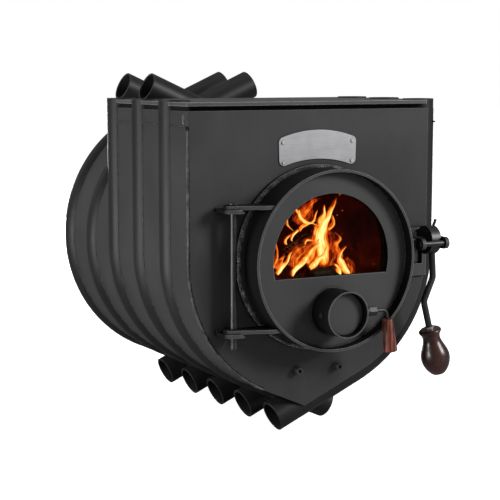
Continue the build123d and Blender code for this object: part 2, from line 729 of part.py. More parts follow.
def knob_profile():
    """Half section of the turned knob: radius along X, length along Y from the ferrule down."""
    rim = knob_rim_diameter / 2
    neck = knob_neck_diameter / 2
    belly = knob_belly_diameter / 2
    foot = knob_foot_diameter / 2
    waist_at = (knob_rim_at + knob_neck_at) / 2
    shoulder_at = (knob_neck_at + knob_belly_at) / 2
    hip_at = (knob_belly_at + knob_length) / 2
    points = [(rim * 0.9, knob_rim_at * 0.2), (rim, knob_rim_at), ((rim + 2 * neck) / 3, waist_at),
              (neck, knob_neck_at), ((neck + belly) / 2, shoulder_at), (belly, knob_belly_at),
              (belly * 0.88, hip_at), (foot, knob_length)]
    edges = [Line((0, 0), (rim * 0.8, 0)), Line((rim * 0.8, 0), points[0]), Spline(*points),
             Line(points[-1], (0, knob_length)), Line((0, knob_length), (0, 0))]
    return make_face(Wire(edges))


knob_plane = Plane(origin=lever_end, x_dir=(0, 1, 0), z_dir=Vector(0, 1, 0).cross(knob_dir))
knob = revolve(knob_plane * knob_profile(), axis=Axis(lever_end, knob_dir), revolution_arc=360)
knob -= extrude(ferrule_plane * Circle(lever_diameter / 2 + weld_clearance / 2), amount=knob_bore_depth)
parts["lever_knob"] = knob

# Nameplate, left plain, and its four rivets
low_left = (-nameplate_bottom_width / 2, nameplate_bottom)
low_right = (nameplate_bottom_width / 2, nameplate_bottom)
high_left = (-nameplate_top_width / 2, nameplate_top)
high_right = (nameplate_top_width / 2, nameplate_top)
top_arc = ThreePointArc(high_left, (0, nameplate_top + nameplate_rise), high_right)
low_arc = ThreePointArc(low_right, (0, nameplate_bottom + nameplate_rise), low_left)
name_edges = [top_arc, Line(high_right, low_right), low_arc, Line(low_left, high_left)]
name_face = make_face(Wire(name_edges))
name_face = fillet(name_face.vertices(), nameplate_corner)
name_face = flat(name_face)
rivets = []
for x, z in rivet_places:
    name_face -= flat(Pos(x, z) * Circle(rivet_diameter / 2 + weld_clearance))
    rivet = rod((x, -nameplate_thickness, z), (x, plate_thickness, z), rivet_diameter)
    head_face = -nameplate_thickness - rivet_head_height
    rivet += rod((x, head_face, z), (x, -nameplate_thickness, z), rivet_head_diameter)
    rivets.append(rivet)
parts["nameplate"] = slab(name_face, -nameplate_thickness, 0)
parts["nameplate_rivets"] = Compound(rivets)

# Two threaded bosses under the door
boss_height = -(door_radius + boss_drop)
bosses = []
for x in (-boss_spacing / 2, boss_spacing / 2):
    boss = rod((x, 0, boss_height), (x, -boss_length, boss_height), boss_diameter)
    boss -= rod((x, -boss_length - 1, boss_height), (x, -boss_length + boss_thread_depth, boss_height),
                boss_thread_diameter)
    bosses.append(boss)
parts["front_bosses"] = Compound(bosses)

# Stand the stove on the floor, with the origin under the middle of its bounding box
boxes = [shape.bounding_box() for shape in parts.values()]
low = [min(getattr(box.min, axis) for box in boxes) for axis in "XYZ"]
high = [max(getattr(box.max, axis) for box in boxes) for axis in "XYZ"]
move = Pos(-(low[0] + high[0]) / 2, -(low[1] + high[1]) / 2, -low[2])
for name, shape in parts.items():
    export_step(move * shape, f"parts/{name}.step")
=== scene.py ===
"""Dresses the workshop stove: paint, steel, glass, wood, weld beads, rope seal, fire, light and camera."""

import logging
import math
import random
from dataclasses import dataclass, field
from enum import Enum
from functools import cached_property
from typing import Callable, Iterable, Protocol, Sequence

import bpy
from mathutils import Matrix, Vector, noise


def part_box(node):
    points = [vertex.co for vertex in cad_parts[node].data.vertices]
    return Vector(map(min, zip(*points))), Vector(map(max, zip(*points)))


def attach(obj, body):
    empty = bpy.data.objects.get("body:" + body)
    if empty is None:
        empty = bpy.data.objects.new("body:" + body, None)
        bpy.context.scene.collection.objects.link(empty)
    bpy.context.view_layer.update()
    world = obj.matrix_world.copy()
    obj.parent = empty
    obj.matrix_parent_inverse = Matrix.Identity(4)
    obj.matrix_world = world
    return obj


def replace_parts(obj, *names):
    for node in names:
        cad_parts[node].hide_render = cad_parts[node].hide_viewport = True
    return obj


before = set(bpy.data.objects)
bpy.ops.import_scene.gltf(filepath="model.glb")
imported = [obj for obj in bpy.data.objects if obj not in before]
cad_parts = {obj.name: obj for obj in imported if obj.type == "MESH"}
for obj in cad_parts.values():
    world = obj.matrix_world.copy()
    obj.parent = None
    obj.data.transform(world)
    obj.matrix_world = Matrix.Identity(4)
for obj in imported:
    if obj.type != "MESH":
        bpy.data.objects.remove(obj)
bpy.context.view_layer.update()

LOG = logging.getLogger("stove")
MM = 0.001

Color = tuple[float, float, float]
Point = tuple[float, float, float]
Socket = bpy.types.NodeSocket

WHITE: Color = (1.0, 1.0, 1.0)
BLACK: Color = (0.0, 0.0, 0.0)
# Near-black tones that are laid into colours as painted shade and shadow.
SHADOW: Color = (0.002, 0.002, 0.002)
RECESS_SHADE: Color = (0.003, 0.003, 0.003)
CREVICE_SHADE: Color = (0.006, 0.006, 0.006)
RIGHT = Vector((1, 0, 0))
UP = Vector((0, 0, 1))
HEAT = "flame_core"
COURSE = "flame_run"


class Body(Enum):
    """CAD bodies that pieces ride on."""

    STOVE = "stove"
    DOOR = "door"


class Slot(Enum):
    """Material slots of the record."""

    SHELL = "shell_paint"
    TUBE = "tube_paint"
    DOOR = "door_paint"
    DARK = "dark_steel"
    BRIGHT = "bright_steel"
    PLATE = "plate_aluminium"
    GLASS = "window_glass"
    SEAL = "seal_rope"
    GRIP = "grip_wood"
    KNOB = "knob_wood"
    IRON = "cast_iron"


# Shader trees


class Tree:
    """Adds nodes to a shader tree in rows and links them."""

    spacing: tuple[int, int] = (180, -220)
    row_length: int = 12

    def __init__(self, tree: bpy.types.ShaderNodeTree) -> None:
        """Wrap a tree.

        Args:
            tree: the node tree that gets the nodes.
        """
        self.tree = tree
        self.count = 0

    def add(self, kind: str, inputs: dict[str | int, object] | None = None,
            **settings: object) -> bpy.types.Node:
        """Add a node.

        Args:
            kind: the node type's name without its ShaderNode prefix.
            inputs: for each input its value, or the socket that feeds it.
            settings: attributes of the node.

        Returns:
            The node.
        """
        node = self.tree.nodes.new("ShaderNode" + kind)
        row, column = divmod(self.count, self.row_length)
        node.location = (self.spacing[0] * column, self.spacing[1] * row)
        self.count += 1
        for name, value in settings.items():
            setattr(node, name, value)
        for name, value in (inputs or {}).items():
            if isinstance(value, bpy.types.NodeSocket):
                self.tree.links.new(value, node.inputs[name])
            else:
                node.inputs[name].default_value = value
        return node

    def feed(self, shader: bpy.types.Node, sources: dict[str, Socket]) -> None:
        """Link sockets to a shader's inputs."""
        for name, source in sources.items():
            self.tree.links.new(source, shader.inputs[name])

    def place(self) -> Socket:
        """Return the place on the object, in its own coordinates."""
        return self.add("TexCoord").outputs["Object"]

    def stretch(self, place: Socket, scale: object, turn: Point = (0.0, 0.0, 0.0)) -> Socket:
        """Return a place scaled along each axis and turned, for a pattern that runs one way."""
        return self.add("Mapping", {"Vector": place, "Scale": scale, "Rotation": turn}).outputs[0]

    def math(self, operation: str, first: object, second: object = 0.0) -> Socket:
        """Return the result of a two-value operation."""
        return self.add("Math", {0: first, 1: second}, operation=operation).outputs[0]

    def mix(self, factor: object, first: object, second: object) -> Socket:
        """Mix two colours.

        Args:
            factor: how much of the second colour shows.
            first: the first colour.
            second: the second colour.

        Returns:
            The mixed colour.
        """
        node = self.add("Mix", data_type="RGBA")
        for place, value in ((0, factor), (6, first), (7, second)):
            if isinstance(value, bpy.types.NodeSocket):
                self.tree.links.new(value, node.inputs[place])
            elif place:
                node.inputs[place].default_value = (*value, 1.0)
            else:
                node.inputs[place].default_value = value
        return node.outputs[2]

    def lay(self, over: Color, under: Socket, mask: Socket, strength: float) -> Socket:
        """Return a colour with another one laid over it where a mask shows, at a strength."""
        return self.mix(self.math("MULTIPLY", mask, strength), under, over)

    def span(self, value: Socket, low: object, high: object, start: float = 0.0,
             end: float = 1.0) -> Socket:
        """Map a value from one range to another, with its ends held.

        Args:
            value: the value.
            low: the value that becomes start.
            high: the value that becomes end.
            start: the result's first limit.
            end: the result's second limit.

        Returns:
            The mapped value.
        """
        return self.add("MapRange", {0: value, 1: low, 2: high, 3: start, 4: end}).outputs[0]

    def noise(self, place: Socket, scale: object, detail: float = 4.0, distortion: float = 0.0) -> Socket:
        """Return soft noise between 0 and 1 at a place."""
        inputs = {"Vector": place, "Scale": scale, "Detail": detail, "Distortion": distortion}
        return self.add("TexNoise", inputs).outputs["Fac"]

    def ramp(self, value: Socket, stops: Sequence[tuple[float, Color]]) -> Socket:
        """Turn a value into a colour.

        Args:
            value: the value, from 0 to 1.
            stops: place and colour of each stop.

        Returns:
            The colour.
        """
        node = self.add("ValToRGB", {0: value})
        band = node.color_ramp
        ends = (band.elements[0], stops[0]), (band.elements[1], stops[-1])
        for element, (place, color) in ends:
            element.position = place
            element.color = (*color, 1.0)
        for place, color in stops[1:-1]:
            band.elements.new(place).color = (*color, 1.0)
        return node.outputs[0]


class Effects:
    """Shader node groups that several finishes share, each built once."""

    def group(self, name: str, takes: dict[str, tuple[str, object]], gives: dict[str, str],
              fill: Callable[[Tree, bpy.types.Node], dict[str, Socket]]) -> bpy.types.ShaderNodeTree:
        """Make one group.

        Args:
            name: the group's name.
            takes: for each input its socket type and value.
            gives: for each output its socket type.
            fill: adds the nodes and returns the socket of each output.

        Returns:
            The group's tree.
        """
        group = bpy.data.node_groups.new(name, "ShaderNodeTree")
        for label, (kind, value) in takes.items():
            socket = group.interface.new_socket(name=label, in_out="INPUT",
                                                socket_type="NodeSocket" + kind)
            socket.default_value = value
        for label, kind in gives.items():
            group.interface.new_socket(name=label, in_out="OUTPUT", socket_type="NodeSocket" + kind)
        tree = Tree(group)
        source = group.nodes.new("NodeGroupInput")
        sink = group.nodes.new("NodeGroupOutput")
        for label, socket in fill(tree, source).items():
            group.links.new(socket, sink.inputs[label])
        return group

    @cached_property
    def edge_wear_and_highlight(self) -> bpy.types.ShaderNodeTree:
        """Mask of the edges, broken up by noise: partly rubbed wear, partly painted highlight where edges
        catch light.

        Returns:
            The group.
        """

        def fill(tree: Tree, source: bpy.types.Node) -> dict[str, Socket]:
            """Compare the rounded normal with the face's own.

            Args:
                tree: the group's tree.
                source: the node that gives the group's inputs.

            Returns:
                The socket of each output.
            """
            place = tree.place()
            round_normal = tree.add("Bevel", {"Radius": source.outputs["Radius"]}, samples=4).outputs[0]
            own_normal = tree.add("NewGeometry").outputs["Normal"]
            same = tree.add("VectorMath", {0: round_normal, 1: own_normal},
                            operation="DOT_PRODUCT").outputs["Value"]
            turn = tree.span(tree.math("SUBTRACT", 1.0, same), 0.01, 0.16)
            broken = tree.span(tree.noise(place, source.outputs["Scale"], 5.0), 0.25, 0.6, 0.35, 1.0)
            return {"Mask": tree.math("MULTIPLY", turn, broken), "Normal": round_normal}

        return self.group("edge_wear_and_highlight", {"Radius": ("Float", 0.001), "Scale": ("Float", 60.0)},
                          {"Mask": "Float", "Normal": "Vector"}, fill)

    @cached_property
    def paint_skin(self) -> bpy.types.ShaderNodeTree:
        """Sprayed heat-proof paint: fine pits, slow clouds in tone, and a few runs and rubs.

        Returns:
            The group.
        """

        def fill(tree: Tree, source: bpy.types.Node) -> dict[str, Socket]:
            """Lay fine and coarse noise over each other.

            Args:
                tree: the group's tree.
                source: the node that gives the group's inputs.

            Returns:
                The socket of each output.
            """
            place = tree.place()
            pits = tree.noise(place, source.outputs["Grain"], 3.0)
            cloud = tree.noise(place, source.outputs["Clouds"], 4.0, 0.6)
            runs = tree.span(tree.noise(tree.stretch(place, (1.0, 1.0, 0.12)), 85.0, 4.0), 0.56, 0.78)
            tone = tree.math("ADD", tree.span(cloud, 0.3, 0.7), tree.math("MULTIPLY", runs, 0.25))
            height = tree.math("ADD", pits, tree.math("MULTIPLY", runs, 0.5))
            rough = tree.span(tree.math("ADD", pits, cloud), 0.6, 1.4, -1.0, 1.0)
            return {"Tone": tone, "Height": height, "Rough": rough}

        return self.group("paint_skin", {"Grain": ("Float", 900.0), "Clouds": ("Float", 9.0)},
                          {"Tone": "Float", "Height": "Float", "Rough": "Float"}, fill)

    @cached_property
    def recess(self) -> bpy.types.ShaderNodeTree:
        """Mask of corners and hollows, where colour is darkened as painted shade and shadow.

        Returns:
            The group.
        """

        def fill(tree: Tree, source: bpy.types.Node) -> dict[str, Socket]:
            """Measure how closed in each place is.

            Args:
                tree: the group's tree.
                source: the node that gives the group's inputs.

            Returns:
                The socket of each output.
            """
            reach, shut, clear = (source.outputs[name] for name in ("Reach", "Shut", "Open"))
            near = tree.add("AmbientOcclusion", {"Distance": reach}, samples=8).outputs["AO"]
            return {"Mask": tree.span(near, shut, clear, 1.0, 0.0)}

        takes = {"Reach": ("Float", 0.03), "Shut": ("Float", 0.05), "Open": ("Float", 0.75)}
        return self.group("recess", takes, {"Mask": "Float"}, fill)

    @cached_property
    def dust(self) -> bpy.types.ShaderNodeTree:
        """Mask of the thin dust that lies on faces that look up.

        Returns:
            The group.
        """

        def fill(tree: Tree, source: bpy.types.Node) -> dict[str, Socket]:
            """Take the upward part of the normal, broken by noise.

            Args:
                tree: the group's tree.
                source: the node that gives the group's inputs.

            Returns:
                The socket of each output.
            """
            place = tree.place()
            normal = tree.add("NewGeometry").outputs["Normal"]
            up = tree.add("SeparateXYZ", {0: normal}).outputs[2]
            spread = tree.span(tree.noise(place, source.outputs["Scale"], 6.0), 0.35, 0.75)
            return {"Mask": tree.math("MULTIPLY", tree.span(up, 0.5, 1.0), spread)}

        return self.group("dust", {"Scale": ("Float", 30.0)}, {"Mask": "Float"}, fill)

    @cached_property
    def brushing(self) -> bpy.types.ShaderNodeTree:
        """Fine parallel scratches along one axis.

        Returns:
            The group.
        """

        def fill(tree: Tree, source: bpy.types.Node) -> dict[str, Socket]:
            """Stretch noise along the brushing.

            Args:
                tree: the group's tree.
                source: the node that gives the group's inputs.

            Returns:
                The socket of each output.
            """
            place = tree.place()
            lines = tree.noise(tree.stretch(place, source.outputs["Stretch"]), source.outputs["Scale"], 5.0)
            return {"Lines": lines, "Spots": tree.noise(place, 45.0, 4.0)}

        takes = {"Stretch": ("Vector", (0.03, 1.0, 1.0)), "Scale": ("Float", 1500.0)}
        return self.group("brushing", takes, {"Lines": "Float", "Spots": "Float"}, fill)

    @cached_property
    def wood_grain(self) -> bpy.types.ShaderNodeTree:
        """Long fibres, growth rings and pores of turned wood.

        Returns:
            The group.
        """

        def fill(tree: Tree, source: bpy.types.Node) -> dict[str, Socket]:
            """Wave rings bent by noise, with dark pores over them.

            Args:
                tree: the group's tree.
                source: the node that gives the group's inputs.

            Returns:
                The socket of each output.
            """
            long = tree.stretch(tree.place(), (1.0, 1.0, 0.12))
            bend = tree.noise(long, 35.0, 3.0)
            waves = {"Vector": long, "Scale": source.outputs["Rings"], "Distortion": 7.0, "Detail": 3.0,
                     "Detail Scale": 2.0}
            swirl = tree.add("TexWave", waves, bands_direction="X").outputs["Fac"]
            pores = tree.span(tree.noise(long, source.outputs["Pores"], 4.0), 0.52, 0.7)
            tone = tree.math("ADD", tree.math("MULTIPLY", swirl, 0.6), tree.math("MULTIPLY", bend, 0.5))
            return {"Tone": tone, "Pores": pores}

        return self.group("wood_grain", {"Rings": ("Float", 40.0), "Pores": ("Float", 600.0)},
                          {"Tone": "Float", "Pores": "Float"}, fill)

    def use(self, tree: Tree, group: bpy.types.ShaderNodeTree, **inputs: object) -> bpy.types.Node:
        """Place a group in a material.

        Args:
            tree: the material's tree.
            group: the group.
            inputs: values of the group's inputs.

        Returns:
            The group node.
        """
        node = tree.add("Group")
        node.node_tree = group
        for name, value in inputs.items():
            node.inputs[name].default_value = value
        return node


# Finishes


def surface(name: str) -> tuple[bpy.types.Material, Tree, bpy.types.Node]:
    """Start a material.

    Args:
        name: the material's name.

    Returns:
        The material, its tree and its Principled BSDF node.
    """
    material = bpy.data.materials.new(name)
    material.use_nodes = True
    tree = Tree(material.node_tree)
    return material, tree, material.node_tree.nodes["Principled BSDF"]


def settle(shader: bpy.types.Node, values: dict[str, object]) -> None:
    """Set a shader's own inputs."""
    for name, value in values.items():
        shader.inputs[name].default_value = value


class Finish(Protocol):
    """A finish that can make its own material."""

    def material(self, effects: Effects) -> bpy.types.Material:
        """Make the finish's material."""


@dataclass(frozen=True)
class PaintFinish:
    """Satin heat-proof paint on sheet metal or tube, with dust, light edges that are partly wear and partly
    painted highlight, and painted shade in its corners and crevices.

    Painted shade: the field shade darkens faces that don't look to the front or back, and a height field
    near the end lays black on all that is lower than that height in metres.
    """

    name: str
    deep: Color
    light: Color
    edge: Color
    roughness: float
    rough_spread: float = 0.05
    grain: float = 900.0
    clouds: float = 9.0
    relief: float = 0.00006
    edge_radius: float = 0.0012
    edge_breaks: float = 70.0
    edge_strength: float = 0.8
    dust_tone: Color = (0.20, 0.19, 0.18)
    dust_patches: float = 24.0
    dust_strength: float = 0.12
    soot_and_shade: float = 0.9
    reach: float = 0.03
    crevice: float = 0.9
    crevice_reach: float = 0.005
    crevice_shut: float = 0.45
    crevice_open: float = 0.93
    specular: float = 0.2
    shade: float = 0.0
    shade_rough: float = 0.5
    shade_below: float | None = None
    shade_fade: tuple[float, float] = (0.0012, 0.0004)

    def material(self, effects: Effects) -> bpy.types.Material:
        """Make the paint's material.

        Args:
            effects: the shared node groups.

        Returns:
            The material.
        """
        material, tree, bsdf = surface(self.name)
        skin = effects.use(tree, effects.paint_skin, Grain=self.grain, Clouds=self.clouds)
        edge = effects.use(tree, effects.edge_wear_and_highlight, Radius=self.edge_radius, Scale=self.edge_breaks)
        dust = effects.use(tree, effects.dust, Scale=self.dust_patches)
        recess = effects.use(tree, effects.recess, Reach=self.reach)
        crevice = effects.use(tree, effects.recess, Reach=self.crevice_reach, Shut=self.crevice_shut,
                              Open=self.crevice_open)
        color = tree.mix(skin.outputs["Tone"], self.deep, self.light)
        # Layers: light edges, partly rubbed wear and partly painted highlight; dust; painted shade in
        # recesses; painted shadow in crevices.
        for tone, group, strength in ((self.edge, edge, self.edge_strength),
                                      (self.dust_tone, dust, self.dust_strength),
                                      (RECESS_SHADE, recess, self.soot_and_shade), (SHADOW, crevice, self.crevice)):
            color = tree.lay(tone, color, group.outputs["Mask"], strength)
        rough = tree.math("ADD", tree.math("MULTIPLY", skin.outputs["Rough"], self.rough_spread),
                          self.roughness)
        # Painted shade: faces turned from the front or back are darkened and made rougher.
        if self.shade:
            facing = tree.add("SeparateXYZ", {0: tree.add("NewGeometry").outputs["True Normal"]}).outputs[1]
            turned = tree.span(tree.math("ABSOLUTE", facing), 0.2, 0.8, self.shade, 0.0)
            color = tree.mix(turned, color, SHADOW)
            rough = tree.math("ADD", rough, tree.math("MULTIPLY", turned, self.shade_rough))
        # Painted shade: all below the height is laid black, for the shaded recess under the cook plate's
        # overhang.
        if self.shade_below is not None:
            height = tree.add("SeparateXYZ", {0: tree.add("NewGeometry").outputs["Position"]}).outputs[2]
            low, high = (self.shade_below - fade for fade in self.shade_fade)
            color = tree.mix(tree.span(height, low, high, 1.0, 0.0), color, SHADOW)
        bump = tree.add("Bump", {"Strength": 1.0, "Distance": self.relief, "Height": skin.outputs["Height"],
                                 "Normal": edge.outputs["Normal"]})
        tree.feed(bsdf, {"Base Color": color, "Roughness": rough, "Normal": bump.outputs[0]})
        settle(bsdf, {"Specular IOR Level": self.specular})
        return material


@dataclass(frozen=True)
class SteelFinish:
    """Bare, blackened or brushed metal."""

    name: str
    deep: Color
    light: Color
    roughness: float
    metallic: float = 1.0
    rough_spread: float = 0.07
    stretch: Point = (1.0, 1.0, 0.05)
    scale: float = 900.0
    relief: float = 0.00004
    edge: Color = (0.6, 0.6, 0.6)
    edge_radius: float = 0.0007
    edge_breaks: float = 110.0
    edge_strength: float = 0.4
    crevice_shade: float = 0.9
    crevice_shade_reach: float = 0.004
    crevice_shade_shut: float = 0.4
    crevice_shade_open: float = 0.9

    def material(self, effects: Effects) -> bpy.types.Material:
        """Make the metal's material.

        Args:
            effects: the shared node groups.

        Returns:
            The material.
        """
        material, tree, bsdf = surface(self.name)
        brushed = effects.use(tree, effects.brushing, Stretch=self.stretch, Scale=self.scale)
        edge = effects.use(tree, effects.edge_wear_and_highlight, Radius=self.edge_radius, Scale=self.edge_breaks)
        crevice_shade = effects.use(tree, effects.recess, Reach=self.crevice_shade_reach, Shut=self.crevice_shade_shut,
                            Open=self.crevice_shade_open)
        tone = tree.math("ADD", tree.math("MULTIPLY", brushed.outputs["Lines"], 0.6),
                         tree.math("MULTIPLY", brushed.outputs["Spots"], 0.4))
        color = tree.mix(tree.span(tone, 0.3, 0.7), self.deep, self.light)
        # Light edges, partly rubbed wear and partly painted highlight, then painted shade in crevices such
        # as round the rivets.
        color = tree.lay(self.edge, color, edge.outputs["Mask"], self.edge_strength)
        color = tree.lay(CREVICE_SHADE, color, crevice_shade.outputs["Mask"], self.crevice_shade)
        rough = tree.span(tone, 0.3, 0.7, self.roughness - self.rough_spread,
                          self.roughness + self.rough_spread)
        bump = tree.add("Bump", {"Strength": 0.6, "Distance": self.relief,
                                 "Height": brushed.outputs["Lines"], "Normal": edge.outputs["Normal"]})
        tree.feed(bsdf, {"Base Color": color, "Roughness": rough, "Normal": bump.outputs[0]})
        settle(bsdf, {"Metallic": self.metallic})
        return material


@dataclass(frozen=True)
class WoodFinish:
    """Turned hardwood, oiled or varnished."""

    name: str
    deep: Color
    light: Color
    pore: Color
    roughness: float
    coat: float
    rings: float
    pores: float
    relief: float = 0.0001
    coat_roughness: float = 0.22

    def material(self, effects: Effects) -> bpy.types.Material:
        """Make the wood's material.

        Args:
            effects: the shared node groups.

        Returns:
            The material.
        """
        material, tree, bsdf = surface(self.name)
        grain = effects.use(tree, effects.wood_grain, Rings=self.rings, Pores=self.pores)
        color = tree.mix(tree.span(grain.outputs["Tone"], 0.2, 0.8), self.deep, self.light)
        color = tree.mix(grain.outputs["Pores"], color, self.pore)
        rough = tree.math("ADD", tree.math("MULTIPLY", grain.outputs["Pores"], 0.15), self.roughness)
        bump = tree.add("Bump", {"Strength": 0.5, "Distance": self.relief,
                                 "Height": grain.outputs["Pores"]})
        tree.feed(bsdf, {"Base Color": color, "Roughness": rough, "Normal": bump.outputs[0]})
        settle(bsdf, {"Coat Weight": self.coat, "Coat Roughness": self.coat_roughness})
        return material


@dataclass(frozen=True)
class RopeFinish:
    """Braided glass-fibre rope darkened by soot."""

    name: str
    deep: Color
    light: Color
    threads: float = 1050.0
    patches: float = 60.0
    relief: float = 0.0002
    sheen: float = 0.25

    def material(self, effects: Effects) -> bpy.types.Material:
        """Make the rope's material.

        Args:
            effects: the shared node groups; not used here.

        Returns:
            The material.
        """
        material, tree, bsdf = surface(self.name)
        place = tree.place()
        fibres = tree.noise(place, self.threads, 2.0)
        soot_and_shade = tree.noise(place, self.patches, 5.0)
        tone = tree.math("MULTIPLY", tree.span(fibres, 0.52, 0.66), tree.span(soot_and_shade, 0.42, 0.60, 0.05, 1.0))
        rough = tree.span(fibres, 0.3, 0.7, 0.85, 1.0)
        bump = tree.add("Bump", {"Strength": 0.8, "Distance": self.relief, "Height": fibres})
        tree.feed(bsdf, {"Base Color": tree.mix(tone, self.deep, self.light), "Roughness": rough,
                         "Normal": bump.outputs[0]})
        settle(bsdf, {"Sheen Weight": self.sheen})
        return material


@dataclass(frozen=True)
class GlassFinish:
    """Clear ceramic window glass, a little sooty."""

    name: str
    tint: Color
    roughness: float
    rough_spread: float = 0.03
    film: float = 22.0
    clearness: float = 0.8
    bending: float = 1.06

    def material(self, effects: Effects) -> bpy.types.Material:
        """Make the glass's material.

        Args:
            effects: the shared node groups; not used here.

        Returns:
            The material.
        """
        material, tree, bsdf = surface(self.name)
        film = tree.noise(tree.place(), self.film, 5.0, 0.5)
        sooty = tuple(self.clearness * part for part in self.tint)
        color = tree.mix(tree.span(film, 0.45, 0.85), self.tint, sooty)
        rough = tree.span(film, 0.4, 0.8, self.roughness, self.roughness + self.rough_spread)
        tree.feed(bsdf, {"Base Color": color, "Roughness": rough})
        settle(bsdf, {"Transmission Weight": 1.0, "Metallic": 0.0, "IOR": self.bending})
        return material


@dataclass(frozen=True)
class FlameFinish:
    """Glowing flame: the heat stored at each point gives colour and cover."""

    name: str
    strength: float
    tones: tuple[tuple[float, Color], ...] = (
        (0.10, (0.14, 0.003, 0.0)), (0.34, (0.62, 0.05, 0.003)), (0.55, (1.0, 0.21, 0.014)),
        (0.76, (1.0, 0.45, 0.06)), (1.0, (1.0, 0.80, 0.30)))

    def material(self, effects: Effects) -> bpy.types.Material:
        """Make the flame's material.

        Args:
            effects: the shared node groups; not used here.

        Returns:
            The material.
        """
        material, tree, bsdf = surface(self.name)
        heat = tree.add("Attribute", attribute_name=HEAT).outputs["Fac"]
        course = tree.add("Attribute", attribute_name=COURSE).outputs["Vector"]
        tall = tree.stretch(tree.place(), (1.0, 1.0, 0.45))
        lick = tree.span(tree.noise(tall, 55.0, 3.0, 2.2), 0.3, 0.7, -0.16, 0.14)
        streaks = tree.span(tree.noise(course, 1.0, 3.0, 0.8), 0.3, 0.7, -0.24, 0.20)
        glow = tree.math("ADD", heat, tree.math("ADD", lick, streaks))
        tree.feed(bsdf, {"Emission Color": tree.ramp(glow, self.tones),
                         "Alpha": tree.span(glow, 0.05, 0.62)})
        settle(bsdf, {"Emission Strength": self.strength, "Base Color": (*BLACK, 1.0),
                      "Specular IOR Level": 0.0, "Roughness": 1.0})
        return material


@dataclass(frozen=True)
class HazeFinish:
    """Red glow at the back of the fire, with a few sparks."""

    name: str
    dark: Color
    red: Color
    spark: Color

    def material(self, effects: Effects) -> bpy.types.Material:
        """Make the haze's material.

        Args:
            effects: the shared node groups; not used here.

        Returns:
            The material.
        """
        material, tree, bsdf = surface(self.name)
        place = tree.place()
        heat = tree.add("Attribute", attribute_name=HEAT).outputs["Fac"]
        cloud = tree.span(tree.noise(place, 26.0, 6.0, 1.2), 0.34, 0.72)
        slant = tree.stretch(place, (1.0, 1.0, 0.2), (0.0, 0.7, 0.0))
        lines = tree.span(tree.noise(slant, 260.0, 3.0), 0.45, 0.75)
        warm = tree.math("MULTIPLY", heat, tree.math("ADD", cloud, tree.math("MULTIPLY", lines, 0.35)))
        glow = tree.mix(warm, self.dark, self.red)
        dots = tree.add("TexVoronoi", {"Vector": place, "Scale": 85.0}).outputs["Distance"]
        sparks = tree.math("MULTIPLY", tree.span(dots, 0.05, 0.14, 1.0, 0.0), tree.span(cloud, 0.35, 0.6))
        tree.feed(bsdf, {"Emission Color": tree.mix(sparks, glow, self.spark)})
        settle(bsdf, {"Emission Strength": 1.0, "Base Color": (*BLACK, 1.0), "Specular IOR Level": 0.0})
        return material


@dataclass(frozen=True)
class LogFinish:
    """Charred bark with glowing cracks."""

    name: str
    char: Color
    bark: Color
    ember: Color
    glow: float
    relief: float = 0.0015

    def material(self, effects: Effects) -> bpy.types.Material:
        """Make the log's material.

        Args:
            effects: the shared node groups; not used here.

        Returns:
            The material.
        """
        material, tree, bsdf = surface(self.name)
        place = tree.place()
        long = tree.stretch(place, (1.0, 0.3, 1.0))
        cells = tree.add("TexVoronoi", {"Vector": long, "Scale": 150.0},
                         feature="DISTANCE_TO_EDGE").outputs[0]
        cracks = tree.span(cells, 0.0, 0.06, 1.0, 0.0)
        patch = tree.span(tree.noise(place, 17.0, 4.0), 0.48, 0.66)
        tone = tree.noise(place, 60.0, 6.0)
        lit = tree.math("MULTIPLY", cracks, patch)
        bump = tree.add("Bump", {"Strength": 1.0, "Distance": self.relief, "Height": cells})
        tree.feed(bsdf, {"Base Color": tree.mix(tone, self.char, self.bark),
                         "Emission Color": tree.mix(lit, BLACK, self.ember),
                         "Roughness": tree.span(tone, 0.3, 0.7, 0.8, 1.0), "Normal": bump.outputs[0]})
        settle(bsdf, {"Emission Strength": self.glow})
        return material


